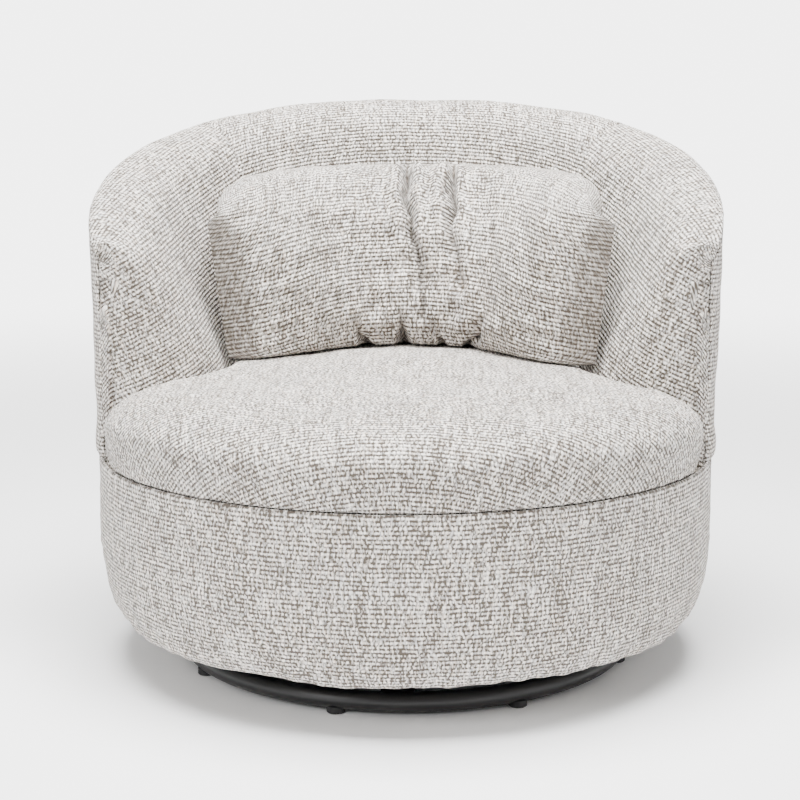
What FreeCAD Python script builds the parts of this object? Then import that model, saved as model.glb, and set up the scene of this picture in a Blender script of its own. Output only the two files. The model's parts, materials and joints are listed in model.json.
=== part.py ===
import FreeCAD, Part
import math
import os
import re
import Sketcher

# Swivel lounge chair: an upholstered barrel on a low ring base.
# Millimetres. +Z is up, the seat faces -Y, and the origin is on the floor under the swivel's axis.
# Angles round the back are counted from the rear, +Y, towards +X.

doc = FreeCAD.newDocument("swivel_chair")
sheet = doc.addObject("Spreadsheet::Sheet", "sizes")

sizes = {
    # ring base
    "glide_height": 5, "glide_radius": 11, "glide_hug": 4, "glide_edge": 1.5, "glide_count": 8,
    "glide_first_angle": 30,
    "ring_radius": 283, "tube_radius": 12, "tube_wall": 1.5,
    "cross_width": 40, "cross_depth": 20, "cross_wall": 1.5, "weld_gap": 0.1,
    "glide_screw_radius": 1.75, "glide_screw_head_radius": 3.5, "glide_screw_head_height": 2,
    "glide_screw_length": 12, "glide_screw_sink": 1.2,
    # swivel
    "plate_margin": 11, "plate_thickness": 3, "race_gap": 4,
    "race_radius": 58, "race_half_width": 8, "race_height": 6.25, "ball_radius": 4, "ball_clearance": 0.05,
    "ball_count": 16, "cage_thickness": 2, "cage_half_width": 7, "pocket_clearance": 0.2,
    "pivot_radius": 8, "running_clearance": 0.05, "pivot_flange_radius": 16, "pivot_flange_thickness": 3,
    "bush_wall": 4, "pivot_washer_radius": 15, "pivot_washer_thickness": 2, "washer_gap": 0.3,
    "pivot_nut_radius": 13, "pivot_nut_height": 8, "pivot_end": 1.5,
    "bolt_radius": 4, "hole_clearance": 0.3, "bolt_head_radius": 7.5, "bolt_head_height": 5.3,
    "bolt_grip": 15, "race_to_bolt": 14, "bolt_to_bolt": 14, "nut_height": 6.5,
    "tee_flange_radius": 11, "tee_flange_thickness": 1.5, "tee_barrel_radius": 5.5, "tee_barrel_length": 12,
    "access_hole_radius": 9, "access_hole_shift": 6,
    # drum
    "fabric_thickness": 2.5, "drum_radius": 393.5, "drum_taper": 8, "drum_round": 54,
    "seam_height": 267, "seam_round": 8, "drum_foam_thickness": 14, "drum_foam_foot": 12, "drum_lip": 18,
    "board_inset": 93.5, "board_thickness": 18, "board_bore": 24,
    "dust_cover_thickness": 0.6, "dust_cover_bore": 125, "dust_cover_margin": 3,
    "wrap_thickness": 3, "rib_thickness": 15, "rib_count": 8, "rib_gap": 0.2, "rib_clearance": 5,
    "rib_foot_inset": 34, "rib_side_inset": 8.5, "rib_knee_share": 0.35,
    "seat_board_thickness": 18, "seat_board_drop": 17, "seat_board_width": 139,
    "strap_width": 50, "strap_thickness": 1.5, "strap_count": 5, "strap_pitch": 88, "strap_reach": 30,
    # seat
    "seat_overhang": 4.5, "seat_belly_rise": 48, "seat_roll": 68, "seat_crown_rise": 114,
    "seat_shoulder_drop": 19.5, "seat_corner_in": 13.5, "seat_outline_angle": 90, "soft_gap": 0.4,
    # back and arms
    "rim_height": 712, "arm_rise": 209.5, "rim_power": 1.15, "arm_end_angle": 106, "arm_nose_drop": 75,
    "arm_nose_angle": 16, "arm_nose_power": 2.2, "shell_overhang_low": 3.5, "shell_overhang_high": 7.5,
    "rim_outer_round": 16, "rim_inner_round": 76, "rim_inner_round_front": 52,
    "back_thickness": 162, "arm_front_thickness": 101, "arm_open_angle": 16, "arm_open_power": 1.7,
    "knee_rise": 90, "seam_drop": 8,
    "panel_seam_angle": 50, "rail_drop": 46, "rail_depth": 25, "rail_inset": 13, "rail_width": 37,
    "post_inset": 4, "post_width": 42, "post_count": 7, "post_end_angle": 10,
    "rail_end_inset_angle": 3, "board_gap": 0.3,
    "back_board_thickness": 3, "outer_board_thickness": 2.5,
    "rail_screw_radius": 2.5, "rail_screw_head_radius": 4.5, "rail_screw_head_height": 3,
    "rail_screw_length": 60,
    # lumbar pillow
    "pillow_end_angle": 88, "pillow_fullness": 3, "pillow_upright_share": 0.7, "pillow_front_radius": 103,
    "pillow_edge_thickness": 26, "pillow_top_drop": 90, "pillow_corner_drop": 46, "pillow_gap": 1.2,
    "pillow_seat_gap": 0.8, "pillow_fabric": 1.5,
    # where the corners of the pillow's section sit, as shares of its thickness
    "foot_in_share": 0.36, "rear_up_share": 0.4, "low_front_in_share": 0.78, "low_front_up_share": 0.32,
    "high_front_in_share": 0.74, "high_front_down_share": 0.3, "head_in_share": 0.34,
}
# the sections of the back, as shares of the way from the middle of the back to an arm's end
section_shares = (0, 0.12, 0.24, 0.36, 0.48, 0.58, 0.68, 0.77, 0.85, 0.9, 0.94, 0.975, 1)
for row, (name, value) in enumerate(sizes.items(), 1):
    sheet.set(f"A{row}", name)
    sheet.set(f"B{row}", str(value))
    sheet.setAlias(f"B{row}", name)
doc.recompute()


# the value of one cell of the sheet
def mm(name):
    return float(sheet.get(name))


# sizes that follow from those of the sheet
seat_board_level = mm("seam_height") - mm("seat_board_drop")
seat_radius = mm("drum_radius") + mm("seat_overhang")
belly_height = mm("seam_height") + mm("seat_belly_rise")
crown_height = mm("seam_height") + mm("seat_crown_rise")
shoulder_height = crown_height - mm("seat_shoulder_drop")
shoulder_radius = seat_radius - mm("seat_roll")
knee_height = mm("seam_height") + mm("knee_rise")
shell_low = mm("drum_radius") + mm("shell_overhang_low")
shell_high = mm("drum_radius") + mm("shell_overhang_high")
inner_radius = shell_low - mm("back_thickness")
inner_radius_front = shell_low - mm("arm_front_thickness")
rail_outer = shell_low - mm("rail_inset")
rail_inner = rail_outer - mm("rail_width")
post_inner = rail_inner + mm("post_inset")
post_depth = mm("rail_width") - 2 * mm("post_inset")
pillow_thickness = inner_radius - mm("pillow_front_radius")
wrap_inner = (mm("drum_radius") - mm("fabric_thickness") - mm("drum_foam_thickness")
              - mm("wrap_thickness"))
strap_radius = wrap_inner - mm("seat_board_width") + mm("strap_reach")


# an expression in which each name of a size points at its cell
def link(text):
    return re.sub(r"[a-z_]+", lambda word: "sizes." + word[0] if word[0] in sizes else word[0], text)


def bind(piece, **links):
    for name, text in links.items():
        piece.setExpression(name.replace("__", "."), link(text))
    return piece


def place(piece, x="0", y="0", z="0", turn="0"):
    bind(piece, Placement__Base__x=x, Placement__Base__y=y, Placement__Base__z=z)
    if turn != "0":
        piece.Placement.Rotation = FreeCAD.Rotation(FreeCAD.Vector(0, 0, 1), 1)
        bind(piece, Placement__Rotation__Angle=turn)
    return piece


def cylinder(name, radius, height, **where):
    return place(bind(doc.addObject("Part::Cylinder", name), Radius=radius, Height=height), **where)


def torus(name, radius, section, **where):
    return place(bind(doc.addObject("Part::Torus", name), Radius1=radius, Radius2=section), **where)


def box(name, length, width, height, **where):
    return place(bind(doc.addObject("Part::Box", name), Length=length, Width=width, Height=height), **where)


def prism(name, radius, height, **where):
    piece = bind(doc.addObject("Part::Prism", name), Circumradius=radius, Height=height)
    piece.Polygon = 6
    return place(piece, **where)


def cut(name, base, *tools):
    piece = doc.addObject("Part::Cut", name)
    piece.Base = base
    piece.Tool = tools[0] if len(tools) == 1 else fuse(name + "_tools", *tools)
    return piece


def fuse(name, *shapes):
    piece = doc.addObject("Part::MultiFuse", name)
    piece.Shapes = list(shapes)
    return piece


def group(name, members):
    piece = doc.addObject("Part::Compound", name)
    piece.Links = list(members)
    return piece


def body(name):
    return doc.addObject("PartDesign::Body", name)


def sketch(owner, role="XZ_Plane"):
    drawing = owner.newObject("Sketcher::SketchObject", owner.Name + "_outline")
    plane = next(feature for feature in owner.Origin.OriginFeatures if feature.Role == role)
    drawing.AttachmentSupport = [(plane, "")]
    drawing.MapMode = "FlatFace"
    return drawing


# a closed outline whose corners are held at bound distances from the origin
def polygon(drawing, corners):
    count = len(corners)
    start = mm("ring_radius")
    first = [FreeCAD.Vector(start * (2 + math.cos(2 * math.pi * i / count)),
                            start * (2 + math.sin(2 * math.pi * i / count)), 0) for i in range(count)]
    for i in range(count):
        drawing.addGeometry(Part.LineSegment(first[i], first[(i + 1) % count]), False)
    for i in range(count):
        drawing.addConstraint(Sketcher.Constraint("Coincident", i, 2, (i + 1) % count, 1))
    for i, (across, up) in enumerate(corners):
        for kind, text in (("DistanceX", across), ("DistanceY", up)):
            at = drawing.addConstraint(Sketcher.Constraint(kind, -1, 1, i, 1, first[i].x))
            drawing.setExpression(f"Constraints[{at}]", link(text))
    return drawing


# a body turned about the vertical axis from an outline of radius and height
def revolved(name, corners):
    owner = body(name)
    drawing = polygon(sketch(owner), corners)
    turn = owner.newObject("PartDesign::Revolution", name + "_turn")
    turn.Profile = drawing
    turn.ReferenceAxis = (drawing, ["V_Axis"])
    turn.Angle = 360
    return owner


parts = []


def keep(piece):
    piece.Label = piece.Name
    parts.append(piece)
    return piece


# ring base
glide_angles = [f"glide_first_angle + {i} * 360 / glide_count" for i in range(sizes["glide_count"])]
ring_height = "glide_height + tube_radius"


def on_circle(radius, angle):
    return {"x": f"({radius}) * cos({angle})", "y": f"({radius}) * sin({angle})"}


def base_ring():
    tube = torus("ring_outside", "ring_radius", "tube_radius", z=ring_height)
    hollow = torus("ring_inside", "ring_radius", "tube_radius - tube_wall", z=ring_height)
    holes = [cylinder(f"ring_hole_{i}", "glide_screw_radius + hole_clearance", "tube_radius", z="0",
                      **on_circle("ring_radius", angle)) for i, angle in enumerate(glide_angles)]
    keep(cut("base_ring", tube, hollow, *holes))


def glides():
    made = []
    for i, angle in enumerate(glide_angles):
        spot = on_circle("ring_radius", angle)
        pad = place(revolved(f"glide_pad_{i}", [
            ("0", "0"), ("glide_radius - glide_edge", "0"), ("glide_radius", "glide_edge"),
            ("glide_radius", "glide_height + glide_hug"), ("0", "glide_height + glide_hug")]), **spot)
        head = cylinder(f"glide_recess_{i}", "glide_screw_head_radius + hole_clearance",
                        "glide_screw_sink + glide_screw_head_height", **spot)
        hole = cylinder(f"glide_hole_{i}", "glide_screw_radius + hole_clearance",
                        "glide_height + glide_hug", **spot)
        ring = torus(f"glide_seat_{i}", "ring_radius", "tube_radius", z=ring_height)
        made.append(cut(f"glide_{i}", pad, head, hole, ring))
    keep(group("floor_glides", made))


def glide_screws():
    made = []
    for i, angle in enumerate(glide_angles):
        spot = on_circle("ring_radius", angle)
        head = cylinder(f"glide_screw_head_{i}", "glide_screw_head_radius", "glide_screw_head_height",
                        z="glide_screw_sink", **spot)
        shank = cylinder(f"glide_screw_shank_{i}", "glide_screw_radius", "glide_screw_length",
                         z="glide_screw_sink", **spot)
        made.append(fuse(f"glide_screw_{i}", head, shank))
    keep(group("glide_screws", made))


cross_bottom = "glide_height + 2 * tube_radius - cross_depth"
cross_top = "glide_height + 2 * tube_radius"
upper_pitch = "(race_radius + race_half_width + race_to_bolt)"
lower_pitch = f"({upper_pitch} + bolt_to_bolt)"
plate_radius = f"({lower_pitch} + plate_margin)"
bolt_spots = [on_circle(lower_pitch, f"{i} * 90") for i in range(4)]


def cross_tubes():
    ring = torus("cross_cope", "ring_radius", "tube_radius + weld_gap", z=ring_height)
    holes = [cylinder(f"cross_hole_{i}", "bolt_radius + hole_clearance", "cross_depth / 2",
                      z=f"{cross_top} - cross_depth / 2", **spot) for i, spot in enumerate(bolt_spots)]
    long_outside = box("long_outside", "2 * ring_radius", "cross_width", "cross_depth",
                       x="-ring_radius", y="-cross_width / 2", z=cross_bottom)
    long_inside = box("long_inside", "2 * ring_radius", "cross_width - 2 * cross_wall",
                      "cross_depth - 2 * cross_wall",
                      x="-ring_radius", y="cross_wall - cross_width / 2", z=f"{cross_bottom} + cross_wall")
    keep(cut("cross_tube_long", long_outside, long_inside, ring, holes[0], holes[2]))
    shorts = []
    for side, start in (("rear", "cross_width / 2"), ("front", "-ring_radius")):
        outside = box(side + "_outside", "cross_width", "ring_radius - cross_width / 2", "cross_depth",
                      x="-cross_width / 2", y=start, z=cross_bottom)
        inside = box(side + "_inside", "cross_width - 2 * cross_wall", "ring_radius - cross_width / 2",
                     "cross_depth - 2 * cross_wall",
                     x="cross_wall - cross_width / 2", y=start, z=f"{cross_bottom} + cross_wall")
        shorts.append(cut(side + "_tube", outside, inside, ring, holes[1 if side == "rear" else 3]))
    keep(group("cross_tubes_short", shorts))


# swivel
lower_top = cross_top + " + plate_thickness"
swivel_gap = "(2 * race_height + race_gap)"
upper_bottom = f"{lower_top} + {swivel_gap}"
upper_top = upper_bottom + " + plate_thickness"
ball_height = f"{lower_top} + {swivel_gap} / 2"


def lower_plate():
    plate = revolved("lower_plate_turned", [
        ("0", cross_top), (plate_radius, cross_top), (plate_radius, lower_top),
        ("race_radius + race_half_width", lower_top),
        ("race_radius + race_half_width", lower_top + " + race_height"),
        ("race_radius - race_half_width", lower_top + " + race_height"),
        ("race_radius - race_half_width", lower_top), ("0", lower_top)])
    groove = torus("lower_groove", "race_radius", "ball_radius + ball_clearance", z=ball_height)
    holes = [cylinder(f"lower_hole_{i}", "bolt_radius + hole_clearance", "2 * plate_thickness",
                      z=f"{cross_top} - plate_thickness / 2", **spot) for i, spot in enumerate(bolt_spots)]
    keep(cut("lower_plate", plate, groove, *holes))


def lower_fixings():
    bolts = []
    nuts = []
    for i, spot in enumerate(bolt_spots):
        head = prism(f"lower_head_{i}", "bolt_head_radius", "bolt_head_height", z=lower_top, **spot)
        shank = cylinder(f"lower_shank_{i}", "bolt_radius", "bolt_grip", z=f"{lower_top} - bolt_grip", **spot)
        bolts.append(fuse(f"lower_bolt_{i}", head, shank))
        nut = prism(f"nut_block_{i}", "bolt_head_radius", "nut_height",
                    z=f"{cross_top} - cross_wall - nut_height", **spot)
        bore = cylinder(f"nut_bore_{i}", "bolt_radius + running_clearance", "nut_height",
                        z=f"{cross_top} - cross_wall - nut_height", **spot)
        nuts.append(cut(f"weld_nut_{i}", nut, bore))
    keep(group("lower_bolts", bolts))
    keep(group("weld_nuts", nuts))


pivot_top = upper_top + " + washer_gap + pivot_washer_thickness + pivot_nut_height + pivot_end"


def pivot():
    flange = cylinder("pivot_flange", "pivot_flange_radius", "pivot_flange_thickness", z=lower_top)
    stem = cylinder("pivot_stem", "pivot_radius", f"{pivot_top} - ({lower_top})", z=lower_top)
    keep(fuse("pivot_pin", flange, stem))
    washer = cylinder("washer_disc", "pivot_washer_radius", "pivot_washer_thickness",
                      z=upper_top + " + washer_gap")
    bore = cylinder("washer_bore", "pivot_radius", "pivot_washer_thickness", z=upper_top + " + washer_gap")
    keep(cut("pivot_washer", washer, bore))
    nut_bottom = upper_top + " + washer_gap + pivot_washer_thickness"
    block = prism("pivot_nut_block", "pivot_nut_radius", "pivot_nut_height", z=nut_bottom)
    thread = cylinder("pivot_nut_bore", "pivot_radius", "pivot_nut_height", z=nut_bottom)
    keep(cut("pivot_nut", block, thread))


def bearing():
    cage = revolved("cage_ring", [
        ("race_radius - cage_half_width", ball_height + " - cage_thickness / 2"),
        ("race_radius + cage_half_width", ball_height + " - cage_thickness / 2"),
        ("race_radius + cage_half_width", ball_height + " + cage_thickness / 2"),
        ("race_radius - cage_half_width", ball_height + " + cage_thickness / 2")])
    balls = []
    pockets = []
    for i in range(sizes["ball_count"]):
        spot = on_circle("race_radius", f"{i} * 360 / ball_count")
        ball = bind(doc.addObject("Part::Sphere", f"ball_{i}"), Radius="ball_radius")
        balls.append(place(ball, z=ball_height, **spot))
        pockets.append(cylinder(f"pocket_{i}", "ball_radius + pocket_clearance", "2 * cage_thickness",
                                z=ball_height + " - cage_thickness", **spot))
    keep(cut("ball_cage", cage, *pockets))
    keep(group("bearing_balls", balls))


upper_spots = [on_circle(upper_pitch, f"45 + {i} * 90") for i in range(4)]


def upper_plate():
    plate = revolved("upper_plate_turned", [
        ("pivot_radius + running_clearance + bush_wall", upper_bottom),
        ("race_radius - race_half_width", upper_bottom),
        ("race_radius - race_half_width", upper_bottom + " - race_height"),
        ("race_radius + race_half_width", upper_bottom + " - race_height"),
        ("race_radius + race_half_width", upper_bottom),
        (plate_radius, upper_bottom), (plate_radius, upper_top),
        ("pivot_radius + running_clearance + bush_wall", upper_top)])
    groove = torus("upper_groove", "race_radius", "ball_radius + ball_clearance", z=ball_height)
    holes = [cylinder(f"upper_hole_{i}", "bolt_radius + hole_clearance", "2 * plate_thickness",
                      z=f"{upper_bottom} - plate_thickness / 2", **spot)
             for i, spot in enumerate(upper_spots)]
    access = cylinder("access_hole", "access_hole_radius", "2 * plate_thickness",
                      z=f"{upper_bottom} - plate_thickness / 2",
                      **on_circle(lower_pitch + " - access_hole_shift", "0"))
    keep(cut("upper_plate", plate, groove, access, *holes))
    bush = cylinder("bush_block", "pivot_radius + running_clearance + bush_wall", "plate_thickness",
                    z=upper_bottom)
    bore = cylinder("bush_bore", "pivot_radius + running_clearance", "plate_thickness", z=upper_bottom)
    keep(cut("pivot_bush", bush, bore))


def upper_fixings():
    bolts = []
    nuts = []
    for i, spot in enumerate(upper_spots):
        head = prism(f"upper_head_{i}", "bolt_head_radius", "bolt_head_height",
                     z=f"{upper_bottom} - bolt_head_height", **spot)
        shank = cylinder(f"upper_shank_{i}", "bolt_radius", "bolt_grip", z=upper_bottom, **spot)
        bolts.append(fuse(f"upper_bolt_{i}", head, shank))
        flange = cylinder(f"tee_flange_{i}", "tee_flange_radius", "tee_flange_thickness",
                          z=f"{upper_top} + board_thickness", **spot)
        barrel = cylinder(f"tee_barrel_{i}", "tee_barrel_radius", "tee_barrel_length",
                          z=f"{upper_top} + board_thickness - tee_barrel_length", **spot)
        bore = cylinder(f"tee_bore_{i}", "bolt_radius + running_clearance",
                        "tee_barrel_length + tee_flange_thickness",
                        z=f"{upper_top} + board_thickness - tee_barrel_length", **spot)
        nuts.append(cut(f"tee_nut_{i}", fuse(f"tee_block_{i}", flange, barrel), bore))
    keep(group("upper_bolts", bolts))
    keep(group("tee_nuts", nuts))


board_bottom = upper_top
board_top = f"{board_bottom} + board_thickness"
board_radius = "(drum_radius - board_inset)"
drum_bottom = f"({board_bottom} - fabric_thickness)"
seat_board_top = "(seam_height - seat_board_drop)"


# frame of the drum
def bottom_board():
    board = revolved("bottom_board_turned", [
        ("board_bore", board_bottom), (board_radius, board_bottom),
        (board_radius, board_top), ("board_bore", board_top)])
    holes = [cylinder(f"board_hole_{i}", "tee_barrel_radius + hole_clearance / 2", "board_thickness",
                      z=board_bottom, **spot) for i, spot in enumerate(upper_spots)]
    keep(cut("bottom_board", board, *holes))


wrap_outer = "drum_radius - fabric_thickness - drum_foam_thickness"
seat_board_bore = f"{wrap_outer} - wrap_thickness - seat_board_width"
rib_inner = f"{seat_board_bore} + rib_clearance"


def drum_ribs():
    made = []
    rib_outer = wrap_outer + " - wrap_thickness - rib_gap"
    for i in range(sizes["rib_count"]):
        rib = body(f"drum_rib_{i}")
        drawing = polygon(sketch(rib), [
            (rib_inner, board_top),
            (f"{rib_outer} - rib_foot_inset", board_top),
            (f"{rib_outer} - rib_side_inset",
             f"({board_top}) * rib_knee_share + ({drum_bottom} + drum_round) * (1 - rib_knee_share)"),
            (rib_outer, f"{drum_bottom} + drum_round"),
            (rib_outer, f"{seat_board_top} - seat_board_thickness"),
            (rib_inner, f"{seat_board_top} - seat_board_thickness")])
        pad = rib.newObject("PartDesign::Pad", f"drum_rib_{i}_pad")
        pad.Profile = drawing
        pad.Midplane = True
        bind(pad, Length="rib_thickness")
        made.append(place(rib, turn=f"({i} + 1 / 2) * 360 / rib_count"))
    keep(group("drum_ribs", made))


def drum_wrap_board():
    keep(revolved("drum_wrap_board", [
        (wrap_outer + " - wrap_thickness", f"{drum_bottom} + drum_round"),
        (wrap_outer, f"{drum_bottom} + drum_round"),
        (wrap_outer, seat_board_top),
        (wrap_outer + " - wrap_thickness", seat_board_top)]))


# a round block that tapers a little and has a round foot
def drum_block(name, radius, taper, bottom, top, foot_round):
    block = revolved(name + "_block", [
        ("0", bottom), (f"{radius} - {taper}", bottom), (radius, top), ("0", top)])
    doc.recompute()
    turned = block.Tip
    foot = block.newObject("PartDesign::Fillet", name + "_foot")
    foot.Base = (turned, [lowest_edge(turned.Shape)])
    bind(foot, Radius=foot_round)
    return block


def lowest_edge(shape):
    circles = [(edge.Curve.Center.z, f"Edge{i}")
               for i, edge in enumerate(shape.Edges, 1) if isinstance(edge.Curve, Part.Circle)]
    return min(circles)[1]


def drum_covering():
    above = "seam_height + seam_round"
    cover = drum_block("cover_outer", "drum_radius", "drum_taper", drum_bottom, "seam_height", "drum_round")
    lining = drum_block("cover_inner", "drum_radius - fabric_thickness", "drum_taper",
                        f"{drum_bottom} + fabric_thickness", above, "drum_round - fabric_thickness")
    lip_bore = cylinder("cover_bore", f"{board_radius} - drum_lip", "seam_height",
                        z=f"{drum_bottom} - fabric_thickness")
    keep(cut("drum_cover", cover, lining, lip_bore))
    foam = drum_block("foam_outer", "drum_radius - fabric_thickness - soft_gap", "drum_taper",
                      f"{drum_bottom} + fabric_thickness + soft_gap", above,
                      "drum_round - fabric_thickness - soft_gap")
    core = drum_block("foam_inner", wrap_outer, "0", f"{drum_bottom} + fabric_thickness + drum_foam_foot",
                      above, "drum_round - fabric_thickness - drum_foam_thickness")
    foam_bore = cylinder("foam_bore", board_radius, "seam_height", z=drum_bottom)
    foam_top = cylinder("foam_top", "2 * drum_radius", "seam_height", z=seat_board_top)
    keep(cut("drum_foam", foam, core, foam_bore, foam_top))
    keep(revolved("dust_cover", [
        ("dust_cover_bore", f"{drum_bottom} - dust_cover_thickness"),
        (f"{board_radius} - dust_cover_margin", f"{drum_bottom} - dust_cover_thickness"),
        (f"{board_radius} - dust_cover_margin", drum_bottom), ("dust_cover_bore", drum_bottom)]))


def seat_board():
    keep(revolved("seat_board", [
        (seat_board_bore, f"{seat_board_top} - seat_board_thickness"),
        (wrap_outer + " - wrap_thickness", f"{seat_board_top} - seat_board_thickness"),
        (wrap_outer + " - wrap_thickness", seat_board_top), (seat_board_bore, seat_board_top)]))


# straps over the seat board, one layer each way
def webbing():
    for layer, name in enumerate(("webbing_lower", "webbing_upper")):
        made = []
        for i in range(sizes["strap_count"]):
            offset = (i - (mm("strap_count") - 1) / 2) * mm("strap_pitch")
            reach = math.sqrt(strap_radius ** 2 - offset ** 2)
            strap = Part.makeBox(mm("strap_width"), 2 * reach, mm("strap_thickness"),
                                 FreeCAD.Vector(offset - mm("strap_width") / 2, -reach, 0))
            made.append(strap)
        piece = doc.addObject("Part::Feature", name)
        piece.Shape = Part.makeCompound(made)
        level = seat_board_level + layer * mm("strap_thickness")
        piece.Placement = FreeCAD.Placement(FreeCAD.Vector(0, 0, level),
                                            FreeCAD.Rotation(FreeCAD.Vector(0, 0, 1), 90 * layer))
        keep(piece)


# back and arms: sections in upright planes through the swivel's axis
def at_angle(angle, radius, height):
    turn = math.radians(angle)
    return FreeCAD.Vector(radius * math.sin(turn), radius * math.cos(turn), height)


def seat_foam_bottom():
    return seat_board_level + 2 * mm("strap_thickness") + mm("board_gap")


# how far round the open front part of an arm an angle lies, from 0 to 1
def open_share(angle):
    share = (abs(angle) - mm("arm_end_angle") + mm("arm_open_angle")) / mm("arm_open_angle")
    return max(share, 0) ** mm("arm_open_power")


# the rim falls from the back's height to the arm's, and then over the arm's rounded nose
def rim_at(angle):
    whole = 1 - math.cos(math.radians(mm("arm_end_angle")))
    share = ((1 - math.cos(math.radians(angle))) / whole) ** mm("rim_power")
    slope = (mm("rim_height") - knee_height - mm("arm_rise")) * share
    nose = (abs(angle) - mm("arm_end_angle") + mm("arm_nose_angle")) / mm("arm_nose_angle")
    return mm("rim_height") - slope - mm("arm_nose_drop") * max(nose, 0) ** mm("arm_nose_power")


# the lean of the inner face, from the rounded rim down to the knee
def section(angle, inset):
    rim = rim_at(angle) - inset
    outer = outer_radius(rim_at(angle) - mm("rim_outer_round")) - inset
    outer_round = mm("rim_outer_round") - inset
    front = open_share(angle)
    inner_round = mm("rim_inner_round") * (1 - front) + mm("rim_inner_round_front") * front - inset
    knee_radius = inner_radius * (1 - front) + inner_radius_front * front + inset
    crest = outer - outer_round
    knee = knee_height
    lean = 0
    for step in range(20):
        height = rim - inner_round * (1 - math.sin(lean)) - knee
        width = crest - inner_round * math.cos(lean) - knee_radius
        lean = math.atan2(width, height)
    top_inner = (crest - inner_round * math.cos(lean), rim - inner_round * (1 - math.sin(lean)))
    half = (lean + math.pi / 2) / 2
    mid_inner = (crest - inner_round * math.cos(half), rim - inner_round * (1 - math.sin(half)))
    quarter = math.sqrt(1 / 2)
    mid_outer = (crest + outer_round * quarter, rim - outer_round * (1 - quarter))
    return {"foot": (knee_radius, seat_foam_bottom()), "knee": (knee_radius, knee),
            "top_inner": top_inner, "mid_inner": mid_inner,
            "crest": (crest, rim), "mid_outer": mid_outer, "shoulder": (outer, rim - outer_round)}


def line(angle, first, last):
    return Part.LineSegment(at_angle(angle, *first), at_angle(angle, *last)).toShape()


def arc(angle, first, middle, last):
    return Part.Arc(at_angle(angle, *first), at_angle(angle, *middle), at_angle(angle, *last)).toShape()


# angles from one end round to the other, closer together near the ends
def both_ways(end):
    one_side = [share * end for share in section_shares]
    return [-angle for angle in one_side[:0:-1]] + one_side


def lofted(outline, angles):
    return Part.makeLoft([Part.Wire(outline(angle)) for angle in angles], True, False)


def feature(name, shape):
    piece = doc.addObject("Part::Feature", name)
    piece.Shape = shape
    return keep(piece)


whole_turn = both_ways(sizes["arm_end_angle"])


# what lies between two angles, from the smaller to the larger
def between(shape, first, last):
    wedge = Part.makeCylinder(2 * shell_high, 2 * mm("rim_height"), FreeCAD.Vector(),
                              FreeCAD.Vector(0, 0, 1), last - first)
    wedge.rotate(FreeCAD.Vector(), FreeCAD.Vector(0, 0, 1), 90 - last)
    return shape.common(wedge).Solids[0]


def outer_radius(height):
    share = (height - mm("seam_height")) / (mm("rim_height") - mm("rim_outer_round") - mm("seam_height"))
    return shell_low + (shell_high - shell_low) * share


def rail_top(angle):
    return rim_at(angle) - mm("rail_drop")


# a band of four straight sides: two heights and the radii at each
def band(low, high, inner_low, outer_low, inner_high, outer_high):
    def outline(angle):
        corners = [(inner_low(angle), low(angle)), (outer_low(angle), low(angle)),
                   (outer_high(angle), high(angle)), (inner_high(angle), high(angle))]
        return [line(angle, corners[i], corners[(i + 1) % 4]) for i in range(4)]
    return outline


def steady(value):
    return lambda angle: value


def boxy(low, high, inner, outer):
    return band(low, high, steady(inner), steady(outer), steady(inner), steady(outer))


def back_frame():
    end = mm("arm_end_angle") - mm("rail_end_inset_angle")
    outline = boxy(lambda angle: rail_top(angle) - mm("rail_depth"), rail_top, rail_inner, rail_outer)
    rail = between(lofted(outline, whole_turn), -end, end)
    posts = []
    screws = []
    holes = []
    for i in range(sizes["post_count"]):
        angle = (2 * i / (mm("post_count") - 1) - 1) * (mm("arm_end_angle") - mm("post_end_angle"))
        turn = FreeCAD.Placement(FreeCAD.Vector(), FreeCAD.Rotation(FreeCAD.Vector(0, 0, 1), -angle))
        middle = rail_top(angle) - mm("rail_depth") / 2
        foot = FreeCAD.Vector(-mm("post_width") / 2, post_inner, seat_board_level)
        post = Part.makeBox(mm("post_width"), post_depth, middle - seat_board_level, foot)
        spot = at_angle(angle, post_inner + post_depth / 2, 0)
        head_foot = rail_top(angle) - 2 * mm("rail_screw_head_height")
        head = Part.makeCylinder(mm("rail_screw_head_radius"), mm("rail_screw_head_height"),
                                 spot + FreeCAD.Vector(0, 0, head_foot))
        shank = Part.makeCylinder(mm("rail_screw_radius"), mm("rail_screw_length"),
                                  spot + FreeCAD.Vector(0, 0, head_foot - mm("rail_screw_length")))
        sunk = Part.makeCylinder(mm("rail_screw_head_radius"), mm("rail_drop"),
                                 spot + FreeCAD.Vector(0, 0, head_foot))
        screws.append(head.fuse(shank))
        holes.append(sunk.fuse(shank))
        post.transformShape(turn.toMatrix())
        posts.append(max(post.cut(rail).cut(shank).Solids, key=lambda solid: solid.Volume))
    feature("top_rail", rail.cut(holes))
    feature("back_uprights", Part.makeCompound(posts))
    feature("rail_screws", Part.makeCompound(screws))
    face = rail_inner - mm("board_gap")
    outline = boxy(steady(seat_board_level), rail_top, face - mm("back_board_thickness"), face)
    feature("inner_back_board", between(lofted(outline, whole_turn), -end, end))
    face = rail_outer + mm("board_gap")
    outline = boxy(steady(mm("seam_height") + mm("soft_gap")), rail_top,
                   face, face + mm("outer_board_thickness"))
    feature("outer_back_board", between(lofted(outline, whole_turn), -end, end))


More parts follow.
